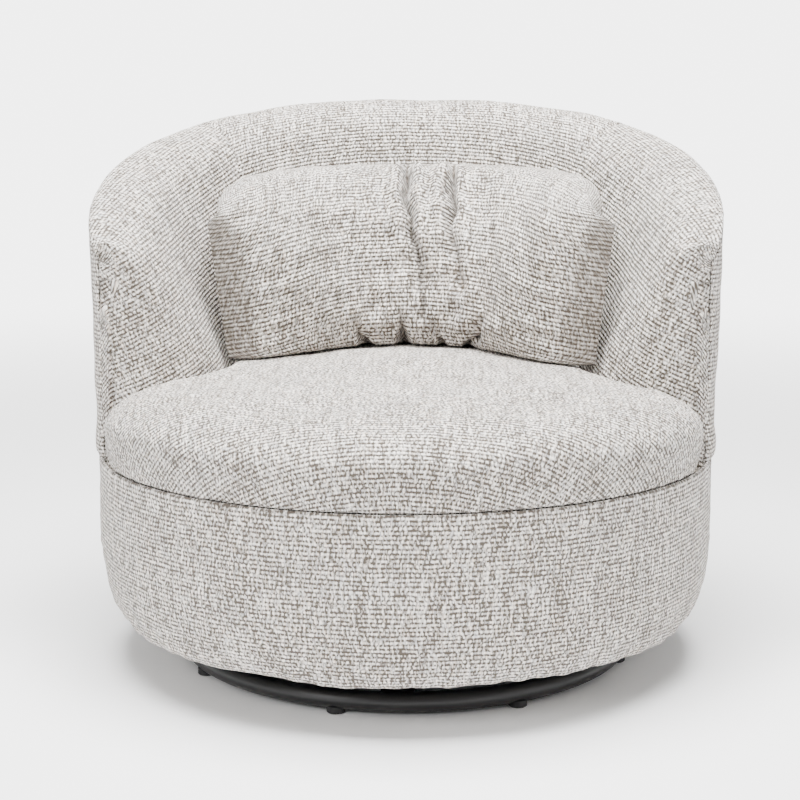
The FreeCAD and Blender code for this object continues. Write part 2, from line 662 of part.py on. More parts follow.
def back_padding():
    inset = mm("fabric_thickness") + mm("soft_gap")
    board_face = rail_inner - 2 * mm("board_gap") - mm("back_board_thickness")

    def foam(angle):
        at = section(angle, inset)
        top = rail_top(angle) + mm("board_gap")
        outer = outer_radius(top) - inset
        return [line(angle, at["foot"], at["knee"]), line(angle, at["knee"], at["top_inner"]),
                arc(angle, at["top_inner"], at["mid_inner"], at["crest"]),
                arc(angle, at["crest"], at["mid_outer"], at["shoulder"]),
                line(angle, at["shoulder"], (outer, top)), line(angle, (outer, top), (board_face, top)),
                line(angle, (board_face, top), (board_face, at["foot"][1])),
                line(angle, (board_face, at["foot"][1]), at["foot"])]
    feature("back_foam", lofted(foam, whole_turn))
    face = rail_outer + 2 * mm("board_gap") + mm("outer_board_thickness")
    feature("outer_wadding", lofted(band(
        steady(mm("seam_height") + mm("soft_gap")), rail_top, steady(face),
        steady(outer_radius(mm("seam_height")) - inset), steady(face),
        lambda angle: outer_radius(rail_top(angle)) - inset), whole_turn))


# a ribbon of cover from the foot of the inner face over the rim to the outer seam
def inner_cover(angle):
    out = section(angle, 0)
    inside = section(angle, mm("fabric_thickness"))
    seam = -mm("seam_drop")
    out_end = (out["shoulder"][0], out["shoulder"][1] + seam)
    inside_end = (inside["shoulder"][0], out_end[1])
    return [line(angle, out["foot"], out["knee"]), line(angle, out["knee"], out["top_inner"]),
            arc(angle, out["top_inner"], out["mid_inner"], out["crest"]),
            arc(angle, out["crest"], out["mid_outer"], out["shoulder"]),
            line(angle, out["shoulder"], out_end), line(angle, out_end, inside_end),
            line(angle, inside_end, inside["shoulder"]),
            arc(angle, inside["shoulder"], inside["mid_outer"], inside["crest"]),
            arc(angle, inside["crest"], inside["mid_inner"], inside["top_inner"]),
            line(angle, inside["top_inner"], inside["knee"]), line(angle, inside["knee"], inside["foot"]),
            line(angle, inside["foot"], out["foot"])]


def front_of_arm(angle):
    out = section(angle, 0)
    low = mm("seam_height") + mm("soft_gap")
    foot = (outer_radius(low), low)
    inner_foot = (out["foot"][0], low)
    edges = [line(angle, inner_foot, out["knee"]), line(angle, out["knee"], out["top_inner"]),
             arc(angle, out["top_inner"], out["mid_inner"], out["crest"]),
             arc(angle, out["crest"], out["mid_outer"], out["shoulder"]),
             line(angle, out["shoulder"], foot), line(angle, foot, inner_foot)]
    normal = at_angle(angle + 90, mm("fabric_thickness"), 0) * math.copysign(1, angle)
    return Part.Face(Part.Wire(edges)).extrude(normal)


def back_covers():
    seam = mm("panel_seam_angle")
    end = mm("arm_end_angle")
    cover = lofted(inner_cover, whole_turn)
    feature("back_panel_cover", between(cover, -seam, seam))
    feature("left_arm_cover", between(cover, -180, -seam).fuse(front_of_arm(-end)).removeSplitter())
    feature("right_arm_cover", between(cover, seam, 180).fuse(front_of_arm(end)).removeSplitter())
    thick = mm("fabric_thickness")
    low = mm("seam_height") + mm("soft_gap")

    def high(angle):
        return section(angle, 0)["shoulder"][1] - mm("seam_drop") - mm("soft_gap")
    feature("outer_back_cover", lofted(band(
        steady(low), high, steady(outer_radius(low) - thick), steady(outer_radius(low)),
        lambda angle: outer_radius(high(angle)) - thick,
        lambda angle: outer_radius(high(angle))), whole_turn))


# height of the seat's crown at a distance from the middle
def crown_at(radius):
    sag = mm("seat_shoulder_drop")
    crown_radius = (shoulder_radius ** 2 + sag ** 2) / (2 * sag)
    return crown_height - crown_radius + math.sqrt(crown_radius ** 2 - radius ** 2)


# seat: a crowned disc with drawn-in sides, cut back where the back and arms stand
# its outline is drawn on the chair's right, where one arm's end stands, and turned from there
def seat_disc(inset, low):
    side = mm("seat_outline_angle")
    seam = mm("seam_height") + mm("soft_gap")
    belly = (seat_radius - inset, belly_height)
    shoulder = (shoulder_radius - inset / 2, shoulder_height - inset)
    crown = crown_height - inset
    sag = crown - shoulder[1]
    crown_radius = (shoulder[0] ** 2 + sag ** 2) / (2 * sag)
    half = shoulder[0] / 2
    crest = crown - crown_radius + math.sqrt(crown_radius ** 2 - half ** 2)
    bend = math.sqrt(1 / 2)
    roll = (shoulder[0] + (belly[0] - shoulder[0]) * bend, belly[1] + (shoulder[1] - belly[1]) * bend)
    corner = (belly[0] - mm("seat_corner_in") * (1 - bend), belly[1] - (belly[1] - seam) * bend)
    foot = (belly[0] - mm("seat_corner_in"), seam)
    edges = [arc(side, foot, corner, belly), arc(side, belly, roll, shoulder),
             arc(side, shoulder, (half, crest), (0, crown)), line(side, (0, crown), (0, low))]
    if low < seam:
        edges = [line(side, (0, low), (foot[0], low)), line(side, (foot[0], low), foot)] + edges
    else:
        edges = [line(side, (0, low), foot)] + edges
    return Part.Face(Part.Wire(edges)).revolve(FreeCAD.Vector(), FreeCAD.Vector(0, 0, 1), 360)


def back_room(gap):
    def inner(angle):
        return section(angle, 0)["knee"][0] - gap
    outline = band(steady(0), steady(mm("rim_height")), inner, steady(2 * seat_radius),
                   inner, steady(2 * seat_radius))
    end = mm("arm_end_angle")
    room = lofted(outline, whole_turn)
    for side in (-1, 1):
        slab = Part.Face(Part.Wire(outline(side * end)))
        room = room.fuse(slab.extrude(at_angle(side * (end + 90), mm("fabric_thickness") + gap, 0)))
    return room


def seat():
    gap = mm("soft_gap")
    low = seat_foam_bottom()
    room = back_room(2 * gap)
    cover_low = mm("seam_height") + gap
    outer = seat_disc(0, cover_low)
    inner = seat_disc(mm("fabric_thickness"), cover_low)
    feature("seat_cover", outer.cut(inner).cut(room))
    feature("seat_foam", seat_disc(mm("fabric_thickness") + gap, low).cut(room))


# lumbar pillow: sections that follow the inside of the back
def pillow_section(angle, inset):
    across = min(abs(angle) / mm("pillow_end_angle"), 1)
    full = math.sqrt(1 - across ** mm("pillow_fullness"))
    edge = mm("pillow_edge_thickness")
    thick = edge + (pillow_thickness - edge) * full - 2 * inset
    at = section(angle, 0)
    knee, top = at["knee"], at["top_inner"]
    away = mm("pillow_gap") + inset
    lean_share = 1 - mm("pillow_upright_share") * across ** 2
    foot_in, head_in = mm("foot_in_share") * thick, mm("head_in_share") * thick
    rear_up = mm("rear_up_share") * thick
    low = crown_at(knee[0] - away - foot_in) + mm("pillow_seat_gap") + inset
    high = mm("rim_height") - mm("pillow_top_drop") - mm("pillow_corner_drop") * (1 - full) - inset

    def rear(height):
        share = (height - knee[1]) / (top[1] - knee[1])
        return knee[0] + (top[0] - knee[0]) * share * lean_share - away
    low_rear = (rear(low + rear_up), low + rear_up)
    high_rear = (rear(high - rear_up), high - rear_up)
    low_front = (rear(low) - mm("low_front_in_share") * thick, low + mm("low_front_up_share") * thick)
    high_front = (rear(high) - mm("high_front_in_share") * thick,
                  high - mm("high_front_down_share") * thick)
    middle = (low + high) / 2
    return [
        ((rear(low) - foot_in, low), low_rear, low_front),
        ((rear(middle) - thick, middle), low_front, high_front),
        ((rear(high) - head_in, high), high_front, high_rear)], (high_rear, low_rear)


def pillow_shape(inset):
    def outline(angle):
        arcs, rear = pillow_section(angle, inset)
        return [arc(angle, first, middle, last) for middle, first, last in arcs] + [line(angle, *rear)]
    return lofted(outline, both_ways(mm("pillow_end_angle")))


def pillow():
    outside = pillow_shape(0)
    filling = pillow_shape(mm("pillow_fabric"))
    feature("pillow_cover", outside.cut(filling))
    feature("pillow_filling", filling)


base_ring()
glides()
glide_screws()
cross_tubes()
lower_plate()
lower_fixings()
pivot()
bearing()
upper_plate()
upper_fixings()
bottom_board()
drum_ribs()
drum_wrap_board()
drum_covering()
seat_board()
webbing()
back_frame()
back_padding()
back_covers()
seat()
pillow()

doc.recompute()
for piece in doc.Objects:
    if {"Invalid", "Error"} & set(piece.State):
        raise RuntimeError(f"{piece.Name} is {piece.State}")
os.makedirs("parts", exist_ok=True)
for piece in parts:
    if piece.Shape.isNull() or not piece.Shape.isValid():
        raise RuntimeError(f"{piece.Label} has no valid shape")
    piece.Shape.exportStep(f"parts/{piece.Label}.step")
    print(piece.Label, len(piece.Shape.Solids), round(piece.Shape.Volume / 1000, 2))
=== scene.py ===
import json
import math

import bmesh
import bpy
import mathutils
import numpy as np
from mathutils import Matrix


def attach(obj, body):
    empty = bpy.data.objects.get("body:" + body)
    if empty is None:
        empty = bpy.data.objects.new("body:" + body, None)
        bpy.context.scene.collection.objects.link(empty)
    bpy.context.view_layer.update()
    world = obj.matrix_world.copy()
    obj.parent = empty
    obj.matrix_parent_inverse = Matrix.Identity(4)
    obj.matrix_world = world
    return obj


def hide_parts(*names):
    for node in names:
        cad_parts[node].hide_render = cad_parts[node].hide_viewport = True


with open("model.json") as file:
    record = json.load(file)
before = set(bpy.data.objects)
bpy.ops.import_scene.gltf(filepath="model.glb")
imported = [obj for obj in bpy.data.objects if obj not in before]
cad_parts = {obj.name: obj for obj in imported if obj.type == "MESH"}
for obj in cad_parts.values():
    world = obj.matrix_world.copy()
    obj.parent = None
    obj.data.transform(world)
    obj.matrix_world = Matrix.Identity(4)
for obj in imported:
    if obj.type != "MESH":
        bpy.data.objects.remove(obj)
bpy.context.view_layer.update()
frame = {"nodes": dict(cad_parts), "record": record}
print("frame loaded")

# Lengths are in metres. The seat faces -Y, and angles go from the rear of the chair round to its +X side.


# 0 below 0, 1 above 1, and a smooth S between
def ease(x):
    x = np.clip(x, 0, 1)
    return x * x * (3 - 2 * x)


# a quarter circle: 0 at x = 0 and flat at x = 1
def quarterRound(x):
    return np.sqrt(1 - (1 - np.clip(x, 0, 1)) ** 2)


# 1 at x = 0, and e to the power of minus x squared away from it
def bell(x):
    return np.exp(-x ** 2)


# soft unevenness over a flat layout: a sum of sine waves in fixed, seeded directions, about -1 to 1
def ripple(flat, wave, seed, count=9):
    rng = np.random.default_rng(seed)
    turn = rng.uniform(0, 2 * math.pi, count)
    rate = 2 * math.pi / wave * rng.uniform(0.7, 1.4, count)
    phase = rng.uniform(0, 2 * math.pi, count)
    waves = np.cos(rate * (flat[..., :1] * np.cos(turn) + flat[..., 1:2] * np.sin(turn)) + phase)
    return waves.sum(-1) / math.sqrt(count)


# places along a length: close together at the ends, one cell apart between
def spaced(length, cell, fine=(True, True)):
    edge = np.array([0, 0.0003, 0.001, 0.002, 0.0033, 0.005, 0.0072])
    low = edge if fine[0] else edge[:1]
    high = edge if fine[1] else edge[:1]
    count = max(int(round((length - low[-1] - high[-1]) / cell)), 2)
    middle = np.linspace(low[-1], length - high[-1], count + 1)
    return np.concatenate([low[:-1], middle, (length - high[:-1])[::-1]])


# points round the swivel axis: x = r sin t, y = r cos t, z = height
def aroundAxis(radius, turn, height):
    return np.stack(np.broadcast_arrays(radius * np.sin(turn), radius * np.cos(turn), height), -1)


# plan points at an angle in degrees
def atAngle(angle, radius):
    return aroundAxis(radius, np.radians(angle), 0)[..., :2]


# unit normals of a grid of points, from its differences along both ways
def gridNormals(points, outward):
    normal = np.cross(np.gradient(points, axis=0), np.gradient(points, axis=1))
    normal /= np.maximum(np.linalg.norm(normal, axis=-1, keepdims=True), 1e-12)
    side = np.sign((normal * outward).sum(-1, keepdims=True))
    side[side == 0] = 1
    return normal * side


# running length along one way of a grid, counted from the place start
def runLength(points, axis, start=0):
    step = np.linalg.norm(np.diff(points, axis=axis), axis=-1)
    run = np.concatenate([np.zeros_like(np.take(step, [0], axis)), np.cumsum(step, axis=axis)], axis=axis)
    return run - np.take(run, [start], axis)


# shortest distance from each point of a grid to a line of points, taken forty at a time
def reachTo(grid, line):
    flat = grid.reshape(-1, 3)
    near = np.full(len(flat), np.inf)
    for start in range(0, len(line), 40):
        gap = np.linalg.norm(flat[:, None] - line[None, start:start + 40], axis=-1)
        near = np.minimum(near, gap.min(1))
    return near.reshape(grid.shape[:2])


# the faces of a grid as point numbers, and each corner's row and column: a closed way joins its last row to its first
def gridFaces(n, m, closedA=False, closedB=False):
    i, j = np.meshgrid(np.arange(n if closedA else n - 1), np.arange(m if closedB else m - 1), indexing="ij")
    corners = [(i, j), (i + 1, j), (i + 1, j + 1), (i, j + 1)]
    index = np.stack([(a % n) * m + (b % m) for a, b in corners], -1).reshape(-1, 4)
    place = np.stack([np.stack([a, b], -1) for a, b in corners], -2).reshape(-1, 4, 2)
    return index, place


# A piece from points and faces. layout is each face corner's place on the flat cloth in metres, and a third value
# is the painted shade it gets, in the pillow's folds and at its ends. A piece without a layout stays flat-shaded, with
# its points as they are.
def finishMesh(name, points, faces, material, layout=None, weld=1e-6):
    mesh = bpy.data.meshes.new(name)
    mesh.from_pydata(points.tolist(), [], faces.tolist())
    maps = {} if layout is None else {"cloth": [0, 1]}
    # the third value goes to a map of its own: the painted shade
    if layout is not None and layout.shape[-1] > 2:
        maps["creaseShade"] = [2, 2]
    for label, columns in maps.items():
        layer = mesh.uv_layers.new(name=label)
        layer.data.foreach_set("uv", np.ascontiguousarray(layout[..., columns], np.float32).ravel())
    shape = bmesh.new()
    shape.from_mesh(mesh)
    if layout is not None:
        bmesh.ops.remove_doubles(shape, verts=shape.verts, dist=weld)
        bmesh.ops.dissolve_degenerate(shape, edges=shape.edges, dist=weld)
    bmesh.ops.recalc_face_normals(shape, faces=shape.faces)
    shape.to_mesh(mesh)
    shape.free()
    mesh.polygons.foreach_set("use_smooth", np.full(len(mesh.polygons), layout is not None))
    mesh.materials.append(material)
    piece = bpy.data.objects.new(name, mesh)
    bpy.context.scene.collection.objects.link(piece)
    return piece


# a piece from a grid, whose layout has one row more on a closed way
def gridPiece(name, points, cloth, material, closedA=False, closedB=False):
    faces, place = gridFaces(*points.shape[:2], closedA, closedB)
    return finishMesh(name, points.reshape(-1, 3), faces, material, cloth[place[..., 0], place[..., 1]])


# a closed pad between a face that shows and a back that doesn't, with strips round its four edges
def padPiece(name, face, back, cloth, material):
    n, m = face.shape[:2]
    points = np.concatenate([face.reshape(-1, 3), back.reshape(-1, 3)])
    quads = gridFaces(n, m)[0]
    ring = np.concatenate([np.arange(n) * m, (n - 1) * m + np.arange(1, m),
                           np.arange(n - 2, -1, -1) * m + m - 1, np.arange(m - 2, 0, -1)])
    after = np.roll(ring, -1)
    edge = np.stack([ring, after, after + n * m, ring + n * m], -1)
    faces = np.concatenate([quads, quads[:, ::-1] + n * m, edge])
    return finishMesh(name, points, faces, material, cloth.reshape(n * m, -1)[faces % (n * m)])


def newMaterial(name):
    material = bpy.data.materials.new(name)
    material.use_nodes = True
    return material, material.node_tree


# a socket is linked, and anything else is set
def plug(tree, socket, value):
    if isinstance(value, bpy.types.NodeSocket):
        tree.links.new(value, socket)
    else:
        socket.default_value = value


# a node with its settings and inputs: i0, i1 and so on stand for an input's place
def node(tree, kind, settings=None, **inputs):
    made = tree.nodes.new(kind)
    for key, value in (settings or {}).items():
        setattr(made, key, value)
    for key, value in inputs.items():
        plug(tree, made.inputs[int(key[1:]) if key[1:].isdigit() else key.replace("_", " ")], value)
    return made


def maths(tree, operation, *values, clamp=False):
    made = node(tree, "ShaderNodeMath", {"operation": operation, "use_clamp": clamp})
    for socket, value in zip(made.inputs, values):
        plug(tree, socket, value)
    return made.outputs[0]


def colourMix(tree, share, low, high, blend="MIX"):
    settings = {"data_type": "RGBA", "blend_type": blend}
    return node(tree, "ShaderNodeMix", settings, i0=share, i6=low, i7=high).outputs[2]


def rangeMap(tree, value, low, high, to=(0, 1), way="LINEAR"):
    settings = {"interpolation_type": way, "clamp": True}
    return node(tree, "ShaderNodeMapRange", settings, i0=value, i1=low, i2=high, i3=to[0], i4=to[1]).outputs[0]


def noise(tree, spot, scale, detail, roughness=0.5, dimensions="3D"):
    return node(tree, "ShaderNodeTexNoise", {"noise_dimensions": dimensions}, Vector=spot, Scale=scale,
                Detail=detail, Roughness=roughness)


def newGroup(name, inputs, outputs):
    group = bpy.data.node_groups.new(name, "ShaderNodeTree")
    for label, kind in inputs.items():
        group.interface.new_socket(name=label, in_out="INPUT", socket_type=kind)
    for label in outputs:
        group.interface.new_socket(name=label, in_out="OUTPUT", socket_type="NodeSocketFloat")
    return group, group.nodes.new("NodeGroupInput").outputs, group.nodes.new("NodeGroupOutput").inputs


# Tweed. yarn and dash give a noise's range and the shades it stands for. The tints are laid over the light yarn one
# after the other: each has the mask it follows, the mask's range, its greatest share and its colour. dark is the
# ground yarn's own colour, and also the painted shade of the weave's furrows and of the pillow's creases.
tweed = {"light": (0.95, 0.905, 0.845, 1), "warm": (0.82, 0.70, 0.58, 1), "cool": (0.60, 0.60, 0.61, 1),
         "dark": (0.080, 0.066, 0.053, 1), "rowPitch": 0.0052, "bumpPitch": 0.0055, "bump": 0.0022,
         "bumpStrength": 0.85, "shadeLow": 0.25, "shadeHigh": 0.86, "sway": (0.0046, 0.0038, 0), "swayScale": 46,
         "ridgePower": 0.85, "stretch": 1.8, "rowJump": 3.7, "startJump": 40, "yarn": (0.30, 0.70, (0.30, 1.02)),
         "dash": (0.32, 0.70, (-0.20, 0.66)), "beatShare": 0.10, "fuzzScale": 480, "fuzzShare": 0.95,
         "streakScale": (150, 11, 1), "streakShare": 0.40, "patchScale": 16, "heightYarn": (0.45, 0.30),
         "heightFuzz": 0.34, "tone": (0.90, 1.04), "creaseShadeShare": 0.9,
         "tints": [("Tint", 0.46, 0.66, 0.9, "warm"), ("Grey", 0.52, 0.68, 0.8, "cool"),
                   ("Patch", 0.48, 0.72, 0.36, "cool"), ("Streak", 0.52, 0.70, 0.45, "light")]}


# Woven tweed from a flat layout in metres. Each row is a soft ridge of yarn, uneven along its length, and the ground
# between two rows shows as broken dark dashes: partly the dark ground yarn, partly painted shade in the furrows. The
# rise from the dark furrow to the light ridge top, and the beat of the bumps along a row, are painted shade of the
# relief.
# Shade = ridge x yarn + (1 - ridge) x dash + a share of the beat of the bumps, of the fuzz and of the pale streaks.
def weaveGroup():
    inputs = {"Layout": "NodeSocketVector", "Row pitch": "NodeSocketFloat", "Bump pitch": "NodeSocketFloat",
              "Seed": "NodeSocketFloat"}
    outputs = ("Height", "Shade", "Tint", "Grey", "Streak", "Patch", "Fuzz")
    tree, given, put = newGroup("tweedWeave", inputs, outputs)
    flat, seed = given["Layout"], given["Seed"]
    sway = noise(tree, flat, tweed["swayScale"], 3)
    swayed = node(tree, "ShaderNodeVectorMath", {"operation": "MULTIPLY_ADD"}, i0=sway.outputs["Color"],
                  i1=tweed["sway"], i2=flat)
    parts = node(tree, "ShaderNodeSeparateXYZ", i0=swayed.outputs[0])
    row = maths(tree, "DIVIDE", parts.outputs[1], given["Row pitch"])
    column = maths(tree, "DIVIDE", parts.outputs[0], given["Bump pitch"])
    wave = maths(tree, "COSINE", maths(tree, "MULTIPLY", row, 2 * math.pi))
    ridge = maths(tree, "POWER", maths(tree, "MULTIPLY_ADD", wave, -0.5, 0.5), tweed["ridgePower"])
    along = maths(tree, "MULTIPLY", column, tweed["stretch"])
    broken = []
    for start in (0.0, 0.5):
        line = maths(tree, "FLOOR", maths(tree, "ADD", row, start))
        across = maths(tree, "MULTIPLY_ADD", line, tweed["rowJump"],
                       maths(tree, "ADD", seed, tweed["startJump"] * start))
        place = node(tree, "ShaderNodeCombineXYZ", i0=along, i1=across)
        broken.append(noise(tree, place.outputs[0], 1, 1.5, 0.6, "2D"))
    tints = node(tree, "ShaderNodeSeparateColor", i0=broken[0].outputs["Color"])
    fuzz = noise(tree, flat, tweed["fuzzScale"], 3, 0.7).outputs[0]
    warp = node(tree, "ShaderNodeMapping", None, i0=flat, Scale=tweed["streakScale"])
    streak = noise(tree, warp.outputs[0], 1, 2, dimensions="2D").outputs[0]
    patch = noise(tree, flat, tweed["patchScale"], 3, 0.6).outputs[0]
    yarn = rangeMap(tree, broken[0].outputs[0], *tweed["yarn"])
    dash = rangeMap(tree, broken[1].outputs[0], *tweed["dash"])
    shift = node(tree, "ShaderNodeTexWhiteNoise", {"noise_dimensions": "1D"},
                 W=maths(tree, "ADD", maths(tree, "FLOOR", row), seed))
    beat = maths(tree, "MULTIPLY", maths(tree, "ADD", column, shift.outputs["Value"]), 2 * math.pi)
    # painted shade: dark dashes in the furrows between rows, the yarn's light on the ridge tops, then the beat of the
    # bumps
    shade = maths(tree, "MULTIPLY_ADD", maths(tree, "SUBTRACT", yarn, dash), ridge, dash)
    shade = maths(tree, "MULTIPLY_ADD", maths(tree, "COSINE", beat), tweed["beatShare"], shade)
    for mask, share in ((fuzz, tweed["fuzzShare"]), (streak, tweed["streakShare"])):
        shade = maths(tree, "MULTIPLY_ADD", maths(tree, "SUBTRACT", mask, 0.5), share, shade)
    height = maths(tree, "MULTIPLY", ridge, maths(tree, "MULTIPLY_ADD", yarn, *tweed["heightYarn"]))
    height = maths(tree, "MULTIPLY_ADD", fuzz, tweed["heightFuzz"], height)
    for label, socket in zip(outputs, (height, shade, tints.outputs[1], tints.outputs[2], streak, patch, fuzz)):
        tree.links.new(socket, put[label])
    return tree


weave = weaveGroup()


def tweedMaterial(name, seed, fineness=1.0, shadedCreases=False):
    material, tree = newMaterial(name)
    shader = tree.nodes["Principled BSDF"]
    layout = node(tree, "ShaderNodeUVMap", {"uv_map": "cloth"})
    placed = node(tree, "ShaderNodeMapping", None, i0=layout.outputs[0], Location=(seed * 0.37, seed * 0.21, 0),
                  Scale=(fineness, fineness, 1))
    cloth = node(tree, "ShaderNodeGroup", {"node_tree": weave}, Layout=placed.outputs[0],
                 Row_pitch=tweed["rowPitch"], Bump_pitch=tweed["bumpPitch"], Seed=seed).outputs
    yarn = tweed["light"]
    for mask, low, high, most, tint in tweed["tints"]:
        yarn = colourMix(tree, rangeMap(tree, cloth[mask], low, high, (0, most)), yarn, tweed[tint])
    # the shade ramps from the dark colour to the yarn: the yarn's own light and dark, and painted shade of the weave's
    # relief
    share = rangeMap(tree, cloth["Shade"], tweed["shadeLow"], tweed["shadeHigh"])
    tone = rangeMap(tree, cloth["Fuzz"], 0.25, 0.75, tweed["tone"])
    colour = colourMix(tree, 1.0, colourMix(tree, share, tweed["dark"], yarn), tone, "MULTIPLY")
    # painted shade: the colour darkens towards the dark colour by the creaseShade map, in the pillow's folds and at
    # its ends
    if shadedCreases:
        creaseShade = node(tree, "ShaderNodeUVMap", {"uv_map": "creaseShade"})
        depth = node(tree, "ShaderNodeSeparateXYZ", None, i0=creaseShade.outputs[0]).outputs[0]
        colour = colourMix(tree, maths(tree, "MULTIPLY", depth, tweed["creaseShadeShare"], clamp=True), colour,
                           tweed["dark"])
    bump = node(tree, "ShaderNodeBump", None, Height=cloth["Height"], Distance=tweed["bump"],
                Strength=tweed["bumpStrength"])
    for label, value in (("Base Color", colour), ("Normal", bump.outputs[0]), ("Roughness", 0.92),
                         ("Specular IOR Level", 0.25), ("Sheen Weight", 0.12), ("Sheen Roughness", 0.5)):
        plug(tree, shader.inputs[label], value)
    return material


# a solid finish: two tones mixed by a noise, an even roughness with a little of the noise, and a fine bump
def solidMaterial(name, low, high, scale, rough, metal=0.0, bump=0.0002, stretch=(1, 1, 1)):
    material, tree = newMaterial(name)
    shader = tree.nodes["Principled BSDF"]
    spot = node(tree, "ShaderNodeTexCoord").outputs["Object"]
    drawn = node(tree, "ShaderNodeMapping", None, i0=spot, Scale=stretch)
    grain = noise(tree, drawn.outputs[0], scale, 4, 0.6).outputs[0]
    cloud = noise(tree, spot, 9, 2).outputs[0]
    share = maths(tree, "MULTIPLY_ADD", cloud, 0.4, maths(tree, "MULTIPLY", grain, 0.6))
    colour = colourMix(tree, rangeMap(tree, share, 0.35, 0.65), (*low, 1), (*high, 1))
    raised = node(tree, "ShaderNodeBump", None, Height=grain, Distance=bump, Strength=0.6)
    for label, value in (("Base Color", colour), ("Roughness", rangeMap(tree, share, 0.3, 0.7, rough)),
                         ("Normal", raised.outputs[0]), ("Metallic", metal)):
        plug(tree, shader.inputs[label], value)
    return material


finishes = {
    "black_steel": solidMaterial("powderBlack", (0.0045, 0.0045, 0.005), (0.008, 0.008, 0.0085), 900,
                                 (0.34, 0.46), bump=0.00006),
    "black_plastic": solidMaterial("glideBlack", (0.007, 0.007, 0.0075), (0.012, 0.012, 0.0125), 1500,
                                   (0.5, 0.62), bump=0.00008),
    "zinc_steel": solidMaterial("zincPlate", (0.52, 0.53, 0.55), (0.68, 0.69, 0.70), 260, (0.26, 0.42), 0.9,
                                0.00005, (1, 1, 6)),
    "bright_steel": solidMaterial("brightSteel", (0.58, 0.58, 0.59), (0.74, 0.74, 0.75), 420, (0.12, 0.26), 1.0,
                                  0.00003),
    "white_plastic": solidMaterial("cageWhite", (0.78, 0.77, 0.73), (0.86, 0.85, 0.82), 300, (0.38, 0.5)),
    "brass": solidMaterial("brassBush", (0.62, 0.44, 0.18), (0.74, 0.55, 0.26), 340, (0.24, 0.4), 1.0, 0.00004),
    "plywood": solidMaterial("birchPly", (0.50, 0.34, 0.19), (0.72, 0.55, 0.36), 38, (0.55, 0.72), 0.0, 0.0004,
                             (1, 9, 9)),
    "hardboard": solidMaterial("brownBoard", (0.20, 0.115, 0.06), (0.30, 0.18, 0.10), 520, (0.6, 0.78), 0.0,
                               0.0003),
    "foam": solidMaterial("paleFoam", (0.74, 0.69, 0.52), (0.84, 0.80, 0.66), 640, (0.85, 0.95), 0.0, 0.0008),
    "webbing": solidMaterial("blackWebbing", (0.02, 0.02, 0.022), (0.05, 0.05, 0.052), 800, (0.7, 0.85), 0.0,
                             0.0006, (1, 5, 5)),
    "black_cloth": solidMaterial("underCloth", (0.012, 0.012, 0.013), (0.03, 0.03, 0.032), 1200, (0.8, 0.95),
                                 0.0, 0.0003),
    "tweed": tweedMaterial("tweedPlain", 9),
}
for part in frame["record"]["subparts"]:
    mesh = frame["nodes"][part["node"]].data
    mesh.materials.clear()
    mesh.materials.append(finishes[part["material_slot"]])
print("finishes made")


# the shell: back and arms
shell = {"rimHeight": 0.712, "rimDrop": 0.110, "rimPower": 1.15, "noseDrop": 0.042, "noseAngle": 16,
         "nosePower": 2.2, "noseEnd": 106, "frontSeam": 104, "lowRadius": 0.397, "highRadius": 0.401,
         "outerRound": 0.016, "innerRound": 0.076, "innerRoundFront": 0.050, "innerRadius": 0.235,
         "kneeHeight": 0.357, "footHeight": 0.2535, "seamHeight": 0.267, "seamDrop": 0.008, "panelSeam": 50,
         "railDrop": 0.0455, "fullness": 0.005, "boardDepth": 0.057, "frontTurn": 7, "frontInset": 0.012,
         "gaugeRadius": 0.30, "cell": 0.0052}


# the rim falls by a power of 1 - cos, and falls once more at the noses of the arms
def rimAt(angle):
    slope = shell["rimDrop"] * (1 - np.cos(np.radians(angle))) ** shell["rimPower"]
    past = np.maximum((np.abs(angle) - shell["noseEnd"] + shell["noseAngle"]) / shell["noseAngle"], 0)
    return shell["rimHeight"] - slope - shell["noseDrop"] * past ** shell["nosePower"]


# the outer wall widens evenly from the seam at the drum to the rim
def outerRadius(height):
    share = (height - shell["seamHeight"]) / (shell["rimHeight"] - shell["outerRound"] - shell["seamHeight"])
    return shell["lowRadius"] + (shell["highRadius"] - shell["lowRadius"]) * share


# how far the outer wall curls in before the front seam: a quarter of an ellipse
def curlIn(angle):
    share = np.clip((np.abs(angle) - shell["frontSeam"] + shell["frontTurn"]) / shell["frontTurn"], 0, 1)
    return shell["frontInset"] * (1 - np.sqrt(1 - share ** 2))


# The lean of the inner face, found step by step: its tangent is the way across over the way up, from the knee to
# where the roll starts. across is the way across to the middle of the roll's arc.
def leanOf(rim, across, innerRound):
    lean = np.zeros_like(rim)
    for step in range(30):
        up = rim - innerRound * (1 - np.sin(lean)) - shell["kneeHeight"]
        lean = np.arctan2(across - innerRound * np.cos(lean), np.maximum(up, 0.01))
    return lean


